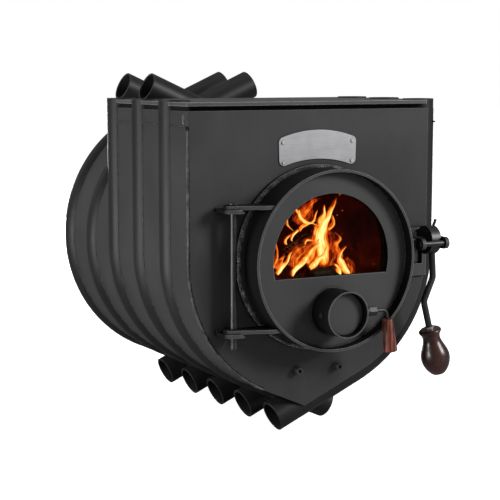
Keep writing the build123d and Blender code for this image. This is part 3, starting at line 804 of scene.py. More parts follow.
class Finishes:
    """The stove's finishes: one for each slot, and those of the cook plate, the welds and the fire."""

    cook_edge: float = 5.5 * MM

    def __init__(self) -> None:
        """Make every material of the stove."""
        effects = Effects()
        self.seam = self.weld_paint().material(effects)
        # Painted highlight: light paint for the front corner's bead and bevel.
        self.ridge = self.highlit_weld_paint().material(effects)
        # Painted shadow: near-black paint for the stripes beside the corner bead.
        self.groove_shade = PaintFinish(
            "groove_shade_paint", deep=(0.003, 0.003, 0.003), light=(0.010, 0.010, 0.010),
            edge=(0.02, 0.02, 0.02), roughness=0.7, relief=0.0002, edge_radius=0.0005,
            specular=0.1).material(effects)
        # Painted light: a lighter copy of the shell's paint, with near-white edges as painted highlight and
        # painted shade below the top plate.
        self.cook = PaintFinish(
            "cook_plate_paint", deep=(0.080, 0.080, 0.081), light=(0.105, 0.105, 0.106),
            edge=(0.75, 0.75, 0.755), roughness=0.40, edge_radius=0.0016,
            shade_below=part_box("cook_plate")[1].z - self.cook_edge).material(effects)
        plan = self.paints() | self.metals() | self.others()
        self.made: dict[Slot, bpy.types.Material] = {
            slot: finish.material(effects) for slot, finish in plan.items()}
        self.flame = FlameFinish("flame", 1.5).material(effects)
        self.haze = HazeFinish("fire_haze", dark=(0.002, 0.0003, 0.0002), red=(0.050, 0.003, 0.0007),
                               spark=(0.6, 0.12, 0.03)).material(effects)
        self.log = LogFinish("charred_log", char=(0.004, 0.003, 0.0025), bark=(0.016, 0.009, 0.007),
                             ember=(1.0, 0.16, 0.02), glow=0.35).material(effects)

    @staticmethod
    def weld_paint() -> PaintFinish:
        """Return the spattered paint over the welds."""
        return PaintFinish("weld_paint", deep=(0.004, 0.004, 0.004), light=(0.13, 0.13, 0.131),
                           edge=(0.40, 0.40, 0.40), roughness=0.5, grain=420.0, clouds=210.0,
                           relief=0.0004, edge_radius=0.0006, crevice=0.3)

    @staticmethod
    def highlit_weld_paint() -> PaintFinish:
        """Return the light paint of the front corner's weld and bevel, a painted highlight."""
        return PaintFinish("highlit_weld_paint", deep=(0.035, 0.035, 0.035), light=(0.15, 0.15, 0.151),
                           edge=(0.50, 0.50, 0.50), roughness=0.42, grain=420.0, clouds=60.0,
                           relief=0.0003, edge_radius=0.0006, soot_and_shade=0.3, crevice=0.0)

    @staticmethod
    def paints() -> dict[Slot, Finish]:
        """Return the painted slots' finishes.

        Returns:
            The finish of each slot.
        """
        return {
            Slot.SHELL: PaintFinish("shell_paint", deep=(0.043, 0.043, 0.044), light=(0.059, 0.059, 0.060),
                                    edge=(0.26, 0.26, 0.265), roughness=0.46),
            # Painted shade: a darker copy of the shell's paint, set against the tubes' sheen.
            Slot.TUBE: PaintFinish("tube_paint", deep=(0.012, 0.012, 0.0125), light=(0.018, 0.018, 0.019),
                                   edge=(0.14, 0.14, 0.145), roughness=0.46, edge_strength=0.9, soot_and_shade=0.4,
                                   specular=0.3),
            # Painted light: a lighter copy of the shell's paint, with painted shade on faces turned from
            # the front or back.
            Slot.DOOR: PaintFinish("door_paint", deep=(0.062, 0.062, 0.063), light=(0.080, 0.080, 0.081),
                                   edge=(0.42, 0.42, 0.425), roughness=0.44, edge_strength=1.0, shade=0.97,
                                   reach=0.012),
            Slot.IRON: PaintFinish("cast_iron", deep=(0.02, 0.019, 0.018), light=(0.04, 0.037, 0.034),
                                   edge=(0.07, 0.07, 0.07), roughness=0.7, grain=500.0, relief=0.0003),
        }

    @staticmethod
    def metals() -> dict[Slot, Finish]:
        """Return the bare metal slots' finishes.

        Returns:
            The finish of each slot.
        """
        return {
            Slot.DARK: SteelFinish("dark_steel", deep=(0.035, 0.034, 0.033), light=(0.08, 0.08, 0.078),
                                   roughness=0.42, metallic=0.75, edge=(0.16, 0.16, 0.16)),
            Slot.BRIGHT: SteelFinish("bright_steel", deep=(0.42, 0.42, 0.41), light=(0.66, 0.66, 0.65),
                                     roughness=0.38, metallic=0.5),
            Slot.PLATE: SteelFinish("plate_aluminium", deep=(0.35, 0.35, 0.36), light=(0.48, 0.48, 0.49),
                                    roughness=0.42, metallic=0.6, stretch=(0.02, 1.0, 1.0), scale=2400.0,
                                    edge=(0.15, 0.15, 0.15), edge_strength=0.5),
        }

    @staticmethod
    def others() -> dict[Slot, Finish]:
        """Return the finishes of the glass, the rope and the wooden grips.

        Returns:
            The finish of each slot.
        """
        return {
            Slot.GLASS: GlassFinish("window_glass", tint=(0.96, 0.95, 0.93), roughness=0.02),
            Slot.SEAL: RopeFinish("seal_rope", deep=(0.004, 0.004, 0.004), light=(0.50, 0.495, 0.49)),
            Slot.GRIP: WoodFinish("grip_wood", deep=(0.024, 0.005, 0.003), light=(0.34, 0.075, 0.040),
                                  pore=(0.008, 0.003, 0.002), roughness=0.42, coat=0.2, rings=55.0,
                                  pores=420.0),
            Slot.KNOB: WoodFinish("knob_wood", deep=(0.014, 0.003, 0.002), light=(0.070, 0.015, 0.009),
                                  pore=(0.008, 0.003, 0.002), roughness=0.30, coat=0.35, rings=14.0,
                                  pores=500.0),
        }

    def dress(self, slot: Slot, nodes: Iterable[str]) -> None:
        """Give CAD nodes the material of a slot.

        Args:
            slot: the slot.
            nodes: names of the CAD nodes.
        """
        for name in nodes:
            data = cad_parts[name].data
            data.materials.clear()
            data.materials.append(self.made[slot])


# Meshes


@dataclass
class Datum:
    """Places read from the CAD nodes, in metres: bend's middle, front plate's face, door's radius."""

    middle: Vector = field(init=False)
    face: float = field(init=False)
    door_radius: float = field(init=False)

    def __post_init__(self) -> None:
        """Read the boxes of the front plate and the door ring."""
        low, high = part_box("door_ring")
        centre = (low + high) / 2
        self.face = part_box("front_plate")[0].y
        self.middle = Vector((centre.x, self.face, centre.z))
        self.door_radius = (high.z - low.z) / 2

    def at(self, x: float, y: float, z: float) -> Vector:
        """Return a place given in millimetres from the bend's middle on the front plate's face."""
        return self.middle + Vector((x, y, z)) * MM


def sheet_faces(rows: int, columns: int, first: int = 0) -> list[tuple[int, ...]]:
    """Return the faces of a sheet whose vertices stand in rows.

    Args:
        rows: how many rows it has.
        columns: how many vertices each row has.
        first: the number of its first vertex.

    Returns:
        The faces.
    """
    starts = [first + row * columns + column for row in range(rows - 1) for column in range(columns - 1)]
    return [(start, start + 1, start + columns + 1, start + columns) for start in starts]


def tube_faces(rings: int, sides: int, closed: bool, first: int = 0) -> list[tuple[int, ...]]:
    """Return the faces of a tube of rings of vertices, capped unless it closes on itself.

    Args:
        rings: how many rings it has.
        sides: how many vertices each ring has.
        closed: whether the last ring joins the first.
        first: the number of its first vertex.

    Returns:
        The faces.
    """
    faces: list[tuple[int, ...]] = []
    for ring in range(rings if closed else rings - 1):
        here = first + ring * sides
        there = first + (ring + 1) % rings * sides
        for side in range(sides):
            step = (side + 1) % sides
            faces.append((here + side, here + step, there + step, there + side))
    if not closed:
        faces.append(tuple(first + side for side in reversed(range(sides))))
        faces.append(tuple(first + (rings - 1) * sides + side for side in range(sides)))
    return faces


def make_piece(name: str, points: Sequence[Vector], faces: Sequence[Sequence[int]], body: Body,
               material: bpy.types.Material) -> bpy.types.Object:
    """Make a mesh piece that rides on a body.

    Args:
        name: the piece's name.
        points: its vertices.
        faces: its faces, as indices of vertices.
        body: the body that it moves with.
        material: its material.

    Returns:
        The piece.
    """
    mesh = bpy.data.meshes.new(name)
    mesh.from_pydata([tuple(point) for point in points], [], [tuple(face) for face in faces])
    mesh.polygons.foreach_set("use_smooth", [True] * len(mesh.polygons))
    mesh.materials.append(material)
    mesh.update()
    piece = bpy.data.objects.new(name, mesh)
    bpy.context.scene.collection.objects.link(piece)
    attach(piece, body.value)
    return piece


@dataclass
class Bead:
    """One weld bead: a low rippled ridge along a line, with sizes in metres."""

    path: list[Vector]
    radius: float = 1.2 * MM
    ripple: float = 3.0 * MM
    closed: bool = False
    sides: int = 6
    valley: float = 0.78
    tail: float = 0.25
    least_gap: float = 0.6
    uneven: tuple[float, float] = (0.88, 1.12)
    askew: Point = (0.31, 0.27, 0.91)

    def resampled(self, step: float) -> list[Vector]:
        """Return points along the path at an even step.

        Args:
            step: the distance between them.

        Returns:
            The points.
        """
        line = self.path + ([self.path[0]] if self.closed else [])
        points = [line[0].copy()]
        left = step
        for start, end in zip(line, line[1:]):
            run = (end - start).length
            along = left
            while along < run:
                points.append(start.lerp(end, along / run))
                along += step
            left = along - run
        if self.closed and (points[-1] - points[0]).length < step * self.least_gap:
            points.pop()
        return points

    def mesh(self, points: list[Vector], faces: list[tuple[int, ...]], seed: int) -> None:
        """Add the bead's surface to a mesh.

        Args:
            points: vertices, which grow.
            faces: faces, which grow.
            seed: makes this bead's unevenness its own.
        """
        luck = random.Random(seed)
        line = self.resampled(self.ripple / 2)
        first = len(points)
        count = len(line)
        for number, place in enumerate(line):
            ahead = line[(number + 1) % count] if self.closed or number + 1 < count else place
            behind = line[number - 1] if self.closed or number else place
            along = (ahead - behind).normalized()
            across = along.cross(Vector(self.askew)).normalized()
            other = along.cross(across)
            swell = 1.0 if number % 2 else self.valley
            end = not self.closed and number in (0, count - 1)
            size = self.radius * swell * luck.uniform(*self.uneven) * (self.tail if end else 1.0)
            for side in range(self.sides):
                turn = 2 * math.pi * side / self.sides
                points.append(place + (across * math.cos(turn) + other * math.sin(turn)) * size)
        faces.extend(tube_faces(count, self.sides, self.closed, first))


def circle(centre: Vector, radius: float, count: int = 96) -> list[Vector]:
    """Return points of an upright circle that faces the front.

    Args:
        centre: its centre.
        radius: its radius.
        count: how many points it has.

    Returns:
        The points.
    """
    turns = [2 * math.pi * number / count for number in range(count)]
    return [centre + RIGHT * radius * math.cos(turn) + UP * radius * math.sin(turn) for turn in turns]


def weld(name: str, beads: Sequence[Bead], body: Body, material: bpy.types.Material) -> bpy.types.Object:
    """Make one piece of several beads.

    Args:
        name: the piece's name.
        beads: the beads.
        body: the body that carries them.
        material: the paint over them.

    Returns:
        The piece.
    """
    points: list[Vector] = []
    faces: list[tuple[int, ...]] = []
    for number, bead in enumerate(beads):
        bead.mesh(points, faces, number)
    return make_piece(name, points, faces, body, material)


# Sub-assemblies


@dataclass
class Shell:
    """Plates, strips and tubes of the body, with the weld beads between them; sizes in millimetres."""

    datum: Datum
    finishes: Finishes
    tube_diameter: float = 48.3
    tube_pitch: float = 48.7
    tubes: int = 10
    upright_tubes: int = 6
    plate: float = 4.0
    plate_top: float = 222.7
    bend: float = 201.0
    bend_steps: int = 24
    slope: float = 24.0
    strip_stand: float = 16.65
    strip_bead: float = 1.2
    seam_line: float = 200.85
    seam_bead: float = 1.3
    corner_bead: float = 2.1
    corner_ripple: float = 9.0
    corner_depth: float = 0.6
    corner_drop: float = 4.0
    corner_inset: float = 0.3
    bevel_bead: float = 3.6
    bevel_ripple: float = 16.0
    bevel_inset: float = 1.3
    groove_shade_proud: tuple[float, float] = (0.12, 0.47)
    groove_shade_front: tuple[float, float] = (0.35, 3.6)
    groove_shade_flank: tuple[float, float] = (0.5, 4.2)
    groove_shade_step: float = 4.0
    groove_shade_least: float = 0.65
    groove_shade_seed: int = 7

    @property
    def outer(self) -> float:
        """How far the strips' faces stand from the middle plane."""
        return self.bend + self.strip_stand

    @property
    def half(self) -> float:
        """How far before and behind a tube's middle the strips meet it."""
        return math.sqrt((self.tube_diameter / 2) ** 2 - self.strip_stand ** 2)

    def tube_depth(self, number: int) -> float:
        """Return the depth of a tube's middle, counting both sides from the front."""
        return self.plate + self.tube_diameter / 2 + number * self.tube_pitch

    def side_line(self, side: int, depth: float, top: float, reach: float) -> list[Vector]:
        """Return the line down one side and round the lower bend.

        Args:
            side: 1 on the right and -1 on the left.
            depth: its depth.
            top: the height at which it starts.
            reach: its distance from the middle plane.

        Returns:
            Its points.
        """
        line = [self.datum.at(side * reach, depth, top), self.datum.at(side * reach, depth, 0)]
        for number in range(1, self.bend_steps + 1):
            turn = math.radians(90 - self.slope) * number / self.bend_steps
            line.append(self.datum.at(side * reach * math.cos(turn), depth, -reach * math.sin(turn)))
        return line

    def dress(self) -> None:
        """Paint the body's nodes."""
        strips = [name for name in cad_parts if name.startswith(("side_strip", "upper_strips"))]
        self.finishes.dress(Slot.SHELL, strips + ["front_plate", "back_plate", "bulkhead", "cook_plate",
                                                  "flue_spigot", "front_bosses"])
        self.finishes.dress(Slot.TUBE, [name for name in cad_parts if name.startswith("tube_")])
        self.finishes.dress(Slot.IRON, ["baffle_plate", "flue_damper"])
        self.finishes.dress(Slot.DARK, ["damper_spindle"])
        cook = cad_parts["cook_plate"].data
        cook.materials.clear()
        cook.materials.append(self.finishes.cook)

    def build(self) -> list[bpy.types.Object]:
        """Weld the strips to the tubes and the plates, and finish the front corner with a light-painted
        bead and painted shadow beside it.

        Returns:
            The pieces.
        """
        # Painted highlight: the corner's bead and bevel take the light weld paint.
        corner = weld("corner_weld", self.corner_beads(), Body.STOVE, self.finishes.ridge)
        seams = weld("shell_welds", self.strip_beads() + self.seam_beads(), Body.STOVE,
                     self.finishes.seam)
        return [corner, seams, self.build_groove_shade()]

    def strip_beads(self) -> list[Bead]:
        """List the beads along both edges of each tube.

        Returns:
            The beads.
        """
        beads: list[Bead] = []
        for number in range(self.tubes):
            side = -1 if number % 2 else 1
            top = self.plate_top if number < self.upright_tubes else 0.0
            for edge in (-1, 1):
                depth = self.tube_depth(number) + edge * self.half
                if depth >= self.plate:
                    beads.append(Bead(self.side_line(side, depth, top, self.outer), self.strip_bead * MM))
        return beads

    def seam_beads(self) -> list[Bead]:
        """List the level beads under the separate upper strips.

        Returns:
            The beads.
        """
        beads: list[Bead] = []
        for side in (-1, 1):
            own = [self.tube_depth(number) for number in range(self.upright_tubes)
                   if (number % 2 == 1) == (side < 0)]
            edges = [self.plate] + own
            for near, far in zip(edges, edges[1:]):
                start = near + (self.half if near in own else 0.0)
                ends = [self.datum.at(side * self.outer, depth, self.seam_line)
                        for depth in (start, far - self.half)]
                beads.append(Bead(ends, self.seam_bead * MM))
        return beads

    def corner_beads(self) -> list[Bead]:
        """List the bead down the left front corner, and the bevel above the weld line.

        Returns:
            The beads.
        """
        corner = self.side_line(-1, self.corner_depth, self.seam_line - self.corner_drop,
                                self.outer - self.corner_inset)
        course = ((11.0, self.plate_top - 1.0), (13.0, self.seam_line + 4.0), (5.0, self.seam_line - 2.0))
        bevel = [self.datum.at(self.bevel_inset - self.outer, depth, height) for depth, height in course]
        return [Bead(corner, self.corner_bead * MM, self.corner_ripple * MM),
                Bead(bevel, self.bevel_bead * MM, self.bevel_ripple * MM)]

    def build_groove_shade(self) -> bpy.types.Object:
        """Lay a thin black stripe on both sides of the front corner's bead, as painted shadow of the
        grooves there.

        Returns:
            The piece with the two stripes.
        """
        points: list[Vector] = []
        faces: list[tuple[int, ...]] = []
        luck = random.Random(self.groove_shade_seed)
        off_front, off_flank = self.groove_shade_proud
        front = [(self.outer - inset, -off_front) for inset in self.groove_shade_front]
        flank = [(self.outer + off_flank, depth) for depth in self.groove_shade_flank]
        for stripe in (front, flank):
            lines = [Bead(self.side_line(-1, depth, self.seam_line, reach)) for reach, depth in stripe]
            near, far = (line.resampled(self.groove_shade_step * MM) for line in lines)
            faces.extend(sheet_faces(min(len(near), len(far)), 2, len(points)))
            for inner, edge in zip(near, far):
                points.extend((inner, inner.lerp(edge, luck.uniform(self.groove_shade_least, 1.0))))
        return make_piece("corner_groove_shade", points, faces, Body.STOVE, self.finishes.groove_shade)


@dataclass
class Door:
    """Round door: ring, disc, window, rope seal, hinge leaves and air inlet."""

    datum: Datum
    finishes: Finishes
    ridges: int = 46
    strands: int = 8
    braid_steps: int = 1400
    braid_sides: int = 20
    braid_floor: float = 0.72
    braid_rise: float = 0.38
    inlet_gap: float = 0.3 * MM
    inlet_bead: float = 1.1 * MM
    inlet_ripple: float = 2.6 * MM
    ring_inset: float = 4.6 * MM
    ring_bead: float = 1.1 * MM
    ring_ripple: float = 3.0 * MM

    def dress(self) -> None:
        """Give the door's nodes their finishes."""
        self.finishes.dress(Slot.DOOR, ["door_ring", "door_disc", "inlet_tube", "throat_ring",
                                        "glass_retainer", "valve_disc", "door_leaf_upper",
                                        "door_leaf_lower"])
        self.finishes.dress(Slot.GLASS, ["window_glass"])
        self.finishes.dress(Slot.BRIGHT, ["glass_screws"])
        self.finishes.dress(Slot.DARK, ["valve_spindle", "valve_nut", "valve_rod"])
        self.finishes.dress(Slot.GRIP, ["valve_grip"])

    def build_seal(self) -> bpy.types.Object:
        """Braid the rope seal in place of its plain solid.

        Returns:
            The rope.
        """
        low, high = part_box("door_seal")
        centre = (low + high) / 2
        thick = (high.y - low.y) / 2
        ring = (high.x - low.x) / 2 - thick
        points: list[Vector] = []
        for step in range(self.braid_steps):
            turn = 2 * math.pi * step / self.braid_steps
            out = Vector((math.cos(turn), 0.0, math.sin(turn)))
            for side in range(self.braid_sides):
                angle = 2 * math.pi * side / self.braid_sides
                first = math.sin(self.ridges * turn + self.strands / 2 * angle)
                second = math.sin(self.ridges * turn - self.strands / 2 * angle)
                size = thick * (self.braid_floor + self.braid_rise * max(abs(first), abs(second)))
                lift = Vector((0, size * math.sin(angle), 0))
                points.append(centre + out * (ring + size * math.cos(angle)) + lift)
        faces = tube_faces(self.braid_steps, self.braid_sides, closed=True)
        rope = make_piece("seal_braid", points, faces, Body.DOOR, self.finishes.made[Slot.SEAL])
        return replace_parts(rope, "door_seal")

    def build_welds(self) -> bpy.types.Object:
        """Weld the inlet to the disc and the disc to the ring.

        Returns:
            The piece with the beads.
        """
        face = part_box("door_disc")[0].y
        low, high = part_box("inlet_tube")
        inlet = Vector((self.datum.middle.x, face, (low.z + high.z) / 2))
        middle = Vector((self.datum.middle.x, face, self.datum.middle.z))
        around_inlet = circle(inlet, (high.z - low.z) / 2 + self.inlet_gap)
        inside_ring = circle(middle, self.datum.door_radius - self.ring_inset, 200)
        beads = [Bead(around_inlet, self.inlet_bead, self.inlet_ripple, True),
                 Bead(inside_ring, self.ring_bead, self.ring_ripple, True)]
        return weld("door_welds", beads, Body.DOOR, self.finishes.seam)


@dataclass
class Fittings:
    """Hinge, latch, strike plate, nameplate and bosses."""

    datum: Datum
    finishes: Finishes
    bracket_inset: float = 1 * MM
    bracket_bead: float = 1.5 * MM
    strike_inset: float = 2 * MM
    strike_bead: float = 1.2 * MM
    boss_bead: float = 0.9 * MM
    boss_ripple: float = 2.0 * MM

    def dress(self) -> None:
        """Give the fittings' nodes their finishes."""
        self.finishes.dress(Slot.DOOR, ["hinge_bracket_upper", "hinge_bracket_lower", "strike_plate",
                                        "latch_fork"])
        self.finishes.dress(Slot.DARK, ["hinge_pin", "split_pin", "latch_axle", "latch_cross_pin",
                                        "latch_drum", "lever_rod"])
        self.finishes.dress(Slot.BRIGHT, ["lever_ferrule", "nameplate_rivets"])
        self.finishes.dress(Slot.PLATE, ["nameplate"])
        self.finishes.dress(Slot.KNOB, ["lever_knob"])

    def build(self) -> bpy.types.Object:
        """Weld the brackets, the strike plate and the bosses to the front plate.

        Returns:
            The piece with the beads.
        """
        face = self.datum.face
        beads: list[Bead] = []
        for name in ("hinge_bracket_upper", "hinge_bracket_lower"):
            low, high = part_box(name)
            ends = (low.x + self.bracket_inset, high.x - self.bracket_inset)
            for height in (low.z, high.z):
                beads.append(Bead([Vector((x, face, height)) for x in ends], self.bracket_bead))
        low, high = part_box("strike_plate")
        ends = (low.z + self.strike_inset, high.z - self.strike_inset)
        for edge in (low.x, high.x):
            beads.append(Bead([Vector((edge, face, z)) for z in ends], self.strike_bead))
        low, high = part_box("front_bosses")
        radius = (high.z - low.z) / 2
        for x in (low.x + radius, high.x - radius):
            line = circle(Vector((x, face, (low.z + high.z) / 2)), radius, 32)
            beads.append(Bead(line, self.boss_bead, self.boss_ripple, True))
        return weld("fitting_welds", beads, Body.STOVE, self.finishes.seam)


@dataclass
class Tongue:
    """One tongue of flame: a bent tapering sheet, hot in its middle."""

    line: list[tuple[float, float]]
    width: float
    heat: float
    depth: float


@dataclass
class Billet:
    """One log: its two ends and its radius."""

    start: Point
    end: Point
    radius: float


@dataclass
class Fire:
    """Logs and flames behind the window, in millimetres from the door's middle."""

    datum: Datum
    finishes: Finishes
    flame_rows: int = 44
    flame_columns: int = 15
    flame_back: float = 30.0
    flame_bow: float = 7.0
    flame_foot: float = 0.10
    flame_tip: float = 0.22
    flame_fade: float = 1.7
    flame_thin: float = 0.6
    flame_probe: float = 0.02
    sway: float = 9.0
    sway_scale: float = 0.05
    sway_apart: float = 3.7
    course_across: float = 0.045
    course_along: float = 0.55
    course_apart: float = 5.3
    shift_right: float = 0.53
    shift_down: float = -0.15
    haze_rows: int = 40
    haze_columns: int = 56
    haze_low: tuple[float, float] = (-70.0, -75.0)
    haze_high: tuple[float, float] = (203.0, 118.0)
    haze_depth: float = 88.0
    haze_bow: float = 26.0
    haze_waves: float = 8.0
    haze_scale: float = 0.03
    haze_slice: float = 4.0
    haze_least: float = 0.12
    log_rings: int = 40
    log_sides: int = 28
    bark_depth: float = 0.13
    bark_across: float = 2.0
    bark_along: float = 6.0
    bark_apart: float = 9.0
    log_end: float = 0.93

    def tongues(self) -> list[Tongue]:
        """List the flames, seen from the front in millimetres from the door's middle.

        Returns:
            The flames.
        """
        return [
            Tongue([(1, -11), (-3, 10), (-5, 27), (-6, 42), (1, 56), (10, 68), (16, 79), (22, 96)],
                   38, 1.0, 52),
            Tongue([(-61, -23), (-48, -11), (-35, 3), (-25, 16), (-12, 28)], 13, 1.0, 38),
            Tongue([(-27, -14), (-15, -4), (-2, 6), (1, 20)], 16, 0.95, 44),
            Tongue([(21, -11), (32, 3), (23, 19), (29, 31), (15, 43)], 17, 0.62, 56),
            Tongue([(43, -27), (32, -9), (27, 2), (39, 19)], 16, 1.05, 36),
            Tongue([(31, -27), (26, -15), (16, -8)], 14, 1.0, 40),
            Tongue([(-49, 81), (-45, 69), (-37, 60), (-26, 57), (-17, 63), (-13, 77)], 8, 0.95, 48),
            Tongue([(-56, 90), (-50, 75), (-44, 66)], 5, 0.55, 50),
            Tongue([(-37, 72), (-26, 84), (-16, 96)], 26, 0.46, 72),
            Tongue([(-48, 47), (-57, 42), (-60, 34), (-58, 30)], 5, 1.0, 34),
            Tongue([(-66, 25), (-68, 33), (-63, 39), (-54, 43)], 5, 0.8, 35),
            Tongue([(-44, 44), (-35, 53), (-22, 56), (-11, 49)], 6, 0.78, 46),
            Tongue([(-35, 23), (-32, 31), (-22, 31), (-18, 40)], 7, 0.72, 46),
            Tongue([(-98, -14), (-89, -2), (-82, 8), (-86, 24), (-89, 39)], 7, 0.6, 30),
            Tongue([(-86, -19), (-77, -9), (-65, 1), (-58, 17)], 11, 0.95, 32),
            Tongue([(-87, -11), (-78, 1), (-69, 10)], 16, 0.55, 36),
            Tongue([(-66, 68), (-64, 54), (-56, 45)], 4, 0.62, 44),
            Tongue([(-56, -12), (-42, 10), (-27, 22), (-13, 38)], 36, 0.46, 62),
            Tongue([(3, -16), (4, 20), (4, 52), (11, 80)], 56, 0.44, 74),
            Tongue([(-48, 56), (-35, 70), (-26, 86), (-7, 96)], 46, 0.4, 80),
            Tongue([(-11, 55), (-2, 68), (-1, 85)], 10, 0.95, 50),
            Tongue([(6, 44), (17, 54), (16, 68)], 10, 0.7, 52),
            Tongue([(44, -27), (51, -11), (41, 3)], 30, 0.34, 66),
            Tongue([(-35, -5), (-20, 13), (-9, 32)], 22, 0.7, 50),
        ]

    def build_flames(self) -> list[bpy.types.Object]:
        """Make the tongues of flame.

        Returns:
            The pieces.
        """
        return [self.build_flame(number, tongue) for number, tongue in enumerate(self.tongues())]

    def build_flame(self, number: int, tongue: Tongue) -> bpy.types.Object:
        """Make one tongue of flame, moved right and down for its depth, as the camera sees it.

        Args:
            number: its place in the list.
            tongue: its line and sizes.

        Returns:
            The piece.
        """
        points: list[Vector] = []
        heats: list[float] = []
        courses: list[float] = []
        for row in range(self.flame_rows):
            part = row / (self.flame_rows - 1)
            x, z = self.along(tongue.line, part)
            ahead = self.along(tongue.line, min(1.0, part + self.flame_probe))
            behind = self.along(tongue.line, max(0.0, part - self.flame_probe))
            run = Vector((ahead[0] - behind[0], ahead[1] - behind[1])).normalized()
            wide = tongue.width * (0.55 + 0.45 * math.sin(math.pi * min(1.0, part * 1.6)))
            wide = max(wide * min(1.0, (1 - part) * 1.9) ** 0.8, self.flame_thin)
            ends = min(1.0, part / self.flame_foot) * min(1.0, (1 - part) / self.flame_tip)
            spot = Vector((x * self.sway_scale, z * self.sway_scale, number * self.sway_apart))
            wave = noise.noise(spot) * self.sway
            for column in range(self.flame_columns):
                courses.extend((column * tongue.width * self.course_across,
                                part * len(tongue.line) * self.course_along, number * self.course_apart))
                cross = column / (self.flame_columns - 1) * 2 - 1
                px = x - run.y * cross * wide / 2 + self.shift_right * tongue.depth
                pz = z + run.x * cross * wide / 2 + self.shift_down * tongue.depth
                py = tongue.depth - self.flame_back + wave + self.flame_bow * cross * cross
                points.append(self.datum.at(px, py, pz))
                fade = 1 - abs(cross) ** self.flame_fade
                heats.append(tongue.heat * fade * (0.35 + 0.65 * ends) * min(1.0, ends * 3))
        faces = sheet_faces(self.flame_rows, self.flame_columns)
        piece = make_piece(f"flame_{number + 1}", points, faces, Body.STOVE, self.finishes.flame)
        self.store_heat(piece, heats)
        course = piece.data.attributes.new(COURSE, "FLOAT_VECTOR", "POINT")
        course.data.foreach_set("vector", courses)
        return piece

    def build_haze(self) -> bpy.types.Object:
        """Bow a glowing sheet behind the flames.

        Returns:
            The sheet.
        """
        low, high = self.haze_low, self.haze_high
        points: list[Vector] = []
        heats: list[float] = []
        for row in range(self.haze_rows):
            for column in range(self.haze_columns):
                across, up = column / (self.haze_columns - 1), row / (self.haze_rows - 1)
                x = low[0] + (high[0] - low[0]) * across
                z = low[1] + (high[1] - low[1]) * up
                spot = Vector((x * self.haze_scale, z * self.haze_scale, self.haze_slice))
                wave = noise.noise(spot) * self.haze_waves
                bow = self.haze_bow * (1 - (across * 2 - 1) ** 2) + wave
                points.append(self.datum.at(x, self.haze_depth + bow, z))
                warm = max(self.haze_least, 1.0 - 0.85 * up)
                heats.append(warm * (0.55 + 0.45 * math.sin(math.pi * across)))
        faces = sheet_faces(self.haze_rows, self.haze_columns)
        piece = make_piece("fire_haze", points, faces, Body.STOVE, self.finishes.haze)
        self.store_heat(piece, heats)
        return piece

    @staticmethod
    def store_heat(piece: bpy.types.Object, heats: Sequence[float]) -> None:
        """Store the heat of each vertex, which the flames' and the haze's finishes read."""
        store = piece.data.attributes.new(HEAT, "FLOAT", "POINT")
        store.data.foreach_set("value", heats)

    @staticmethod
    def along(line: Sequence[tuple[float, float]], part: float) -> tuple[float, float]:
        """Return a place on a smooth line through points.

        Args:
            line: the points.
            part: how far along the line it is, from 0 to 1.

        Returns:
            The place.
        """
        spans = len(line) - 1
        place = min(part * spans, spans - 1e-6)
        index = int(place)
        t = place - index
        a, b = line[max(index - 1, 0)], line[index]
        c, d = line[index + 1], line[min(index + 2, spans)]
        out = []
        for k in (0, 1):
            out.append(0.5 * (2 * b[k] + (c[k] - a[k]) * t + (2 * a[k] - 5 * b[k] + 4 * c[k] - d[k]) * t * t
                              + (3 * b[k] - a[k] - 3 * c[k] + d[k]) * t ** 3))
        return out[0], out[1]

    def billets(self) -> list[Billet]:
        """List the logs.

        Returns:
            The logs.
        """
        return [
            Billet((-70, 60, -128), (60, 330, -132), 34),
            Billet((75, 50, -120), (-20, 320, -128), 32),
            Billet((5, 22, -72), (90, 260, -80), 30),
            Billet((-52, 40, -66), (-30, 300, -78), 30),
            Billet((96, 70, -64), (20, 80, -70), 22),
            Billet((6, 32, -38), (72, 30, -37), 17),
            Billet((-20, 54, -4), (30, 72, 16), 13),
        ]

    def build_logs(self) -> list[bpy.types.Object]:
        """Stack charred logs on the floor of the firebox.

        Returns:
            The pieces.
        """
        return [self.build_log(number, billet) for number, billet in enumerate(self.billets())]

    def build_log(self, number: int, billet: Billet) -> bpy.types.Object:
        """Make one log with rough bark and sawn ends.

        Args:
            number: its place in the list.
            billet: its ends and radius.

        Returns:
            The piece.
        """
        first, last = self.datum.at(*billet.start), self.datum.at(*billet.end)
        run = last - first
        along = run.normalized()
        across = along.cross(UP).normalized()
        up = across.cross(along)
        points: list[Vector] = []
        for ring in range(self.log_rings):
            part = ring / (self.log_rings - 1)
            trim = self.log_end if ring in (0, self.log_rings - 1) else 1.0
            for side in range(self.log_sides):
                turn = 2 * math.pi * side / self.log_sides
                spot = Vector((math.cos(turn) * self.bark_across, math.sin(turn) * self.bark_across,
                               part * self.bark_along + number * self.bark_apart))
                bark = noise.fractal(spot, 0.8, 2.0, 4)
                size = billet.radius * MM * (1 + self.bark_depth * bark) * trim
                points.append(first + run * part + (across * math.cos(turn) + up * math.sin(turn)) * size)
        faces = tube_faces(self.log_rings, self.log_sides, closed=False)
        return make_piece(f"log_{number + 1}", points, faces, Body.STOVE, self.finishes.log)


@dataclass(frozen=True)
class Softbox:
    """A soft rectangular light: where it stands, what it points at, its size in metres and its watts."""

    name: str
    place: Point
    aim: Point
    size: tuple[float, float]
    power: float


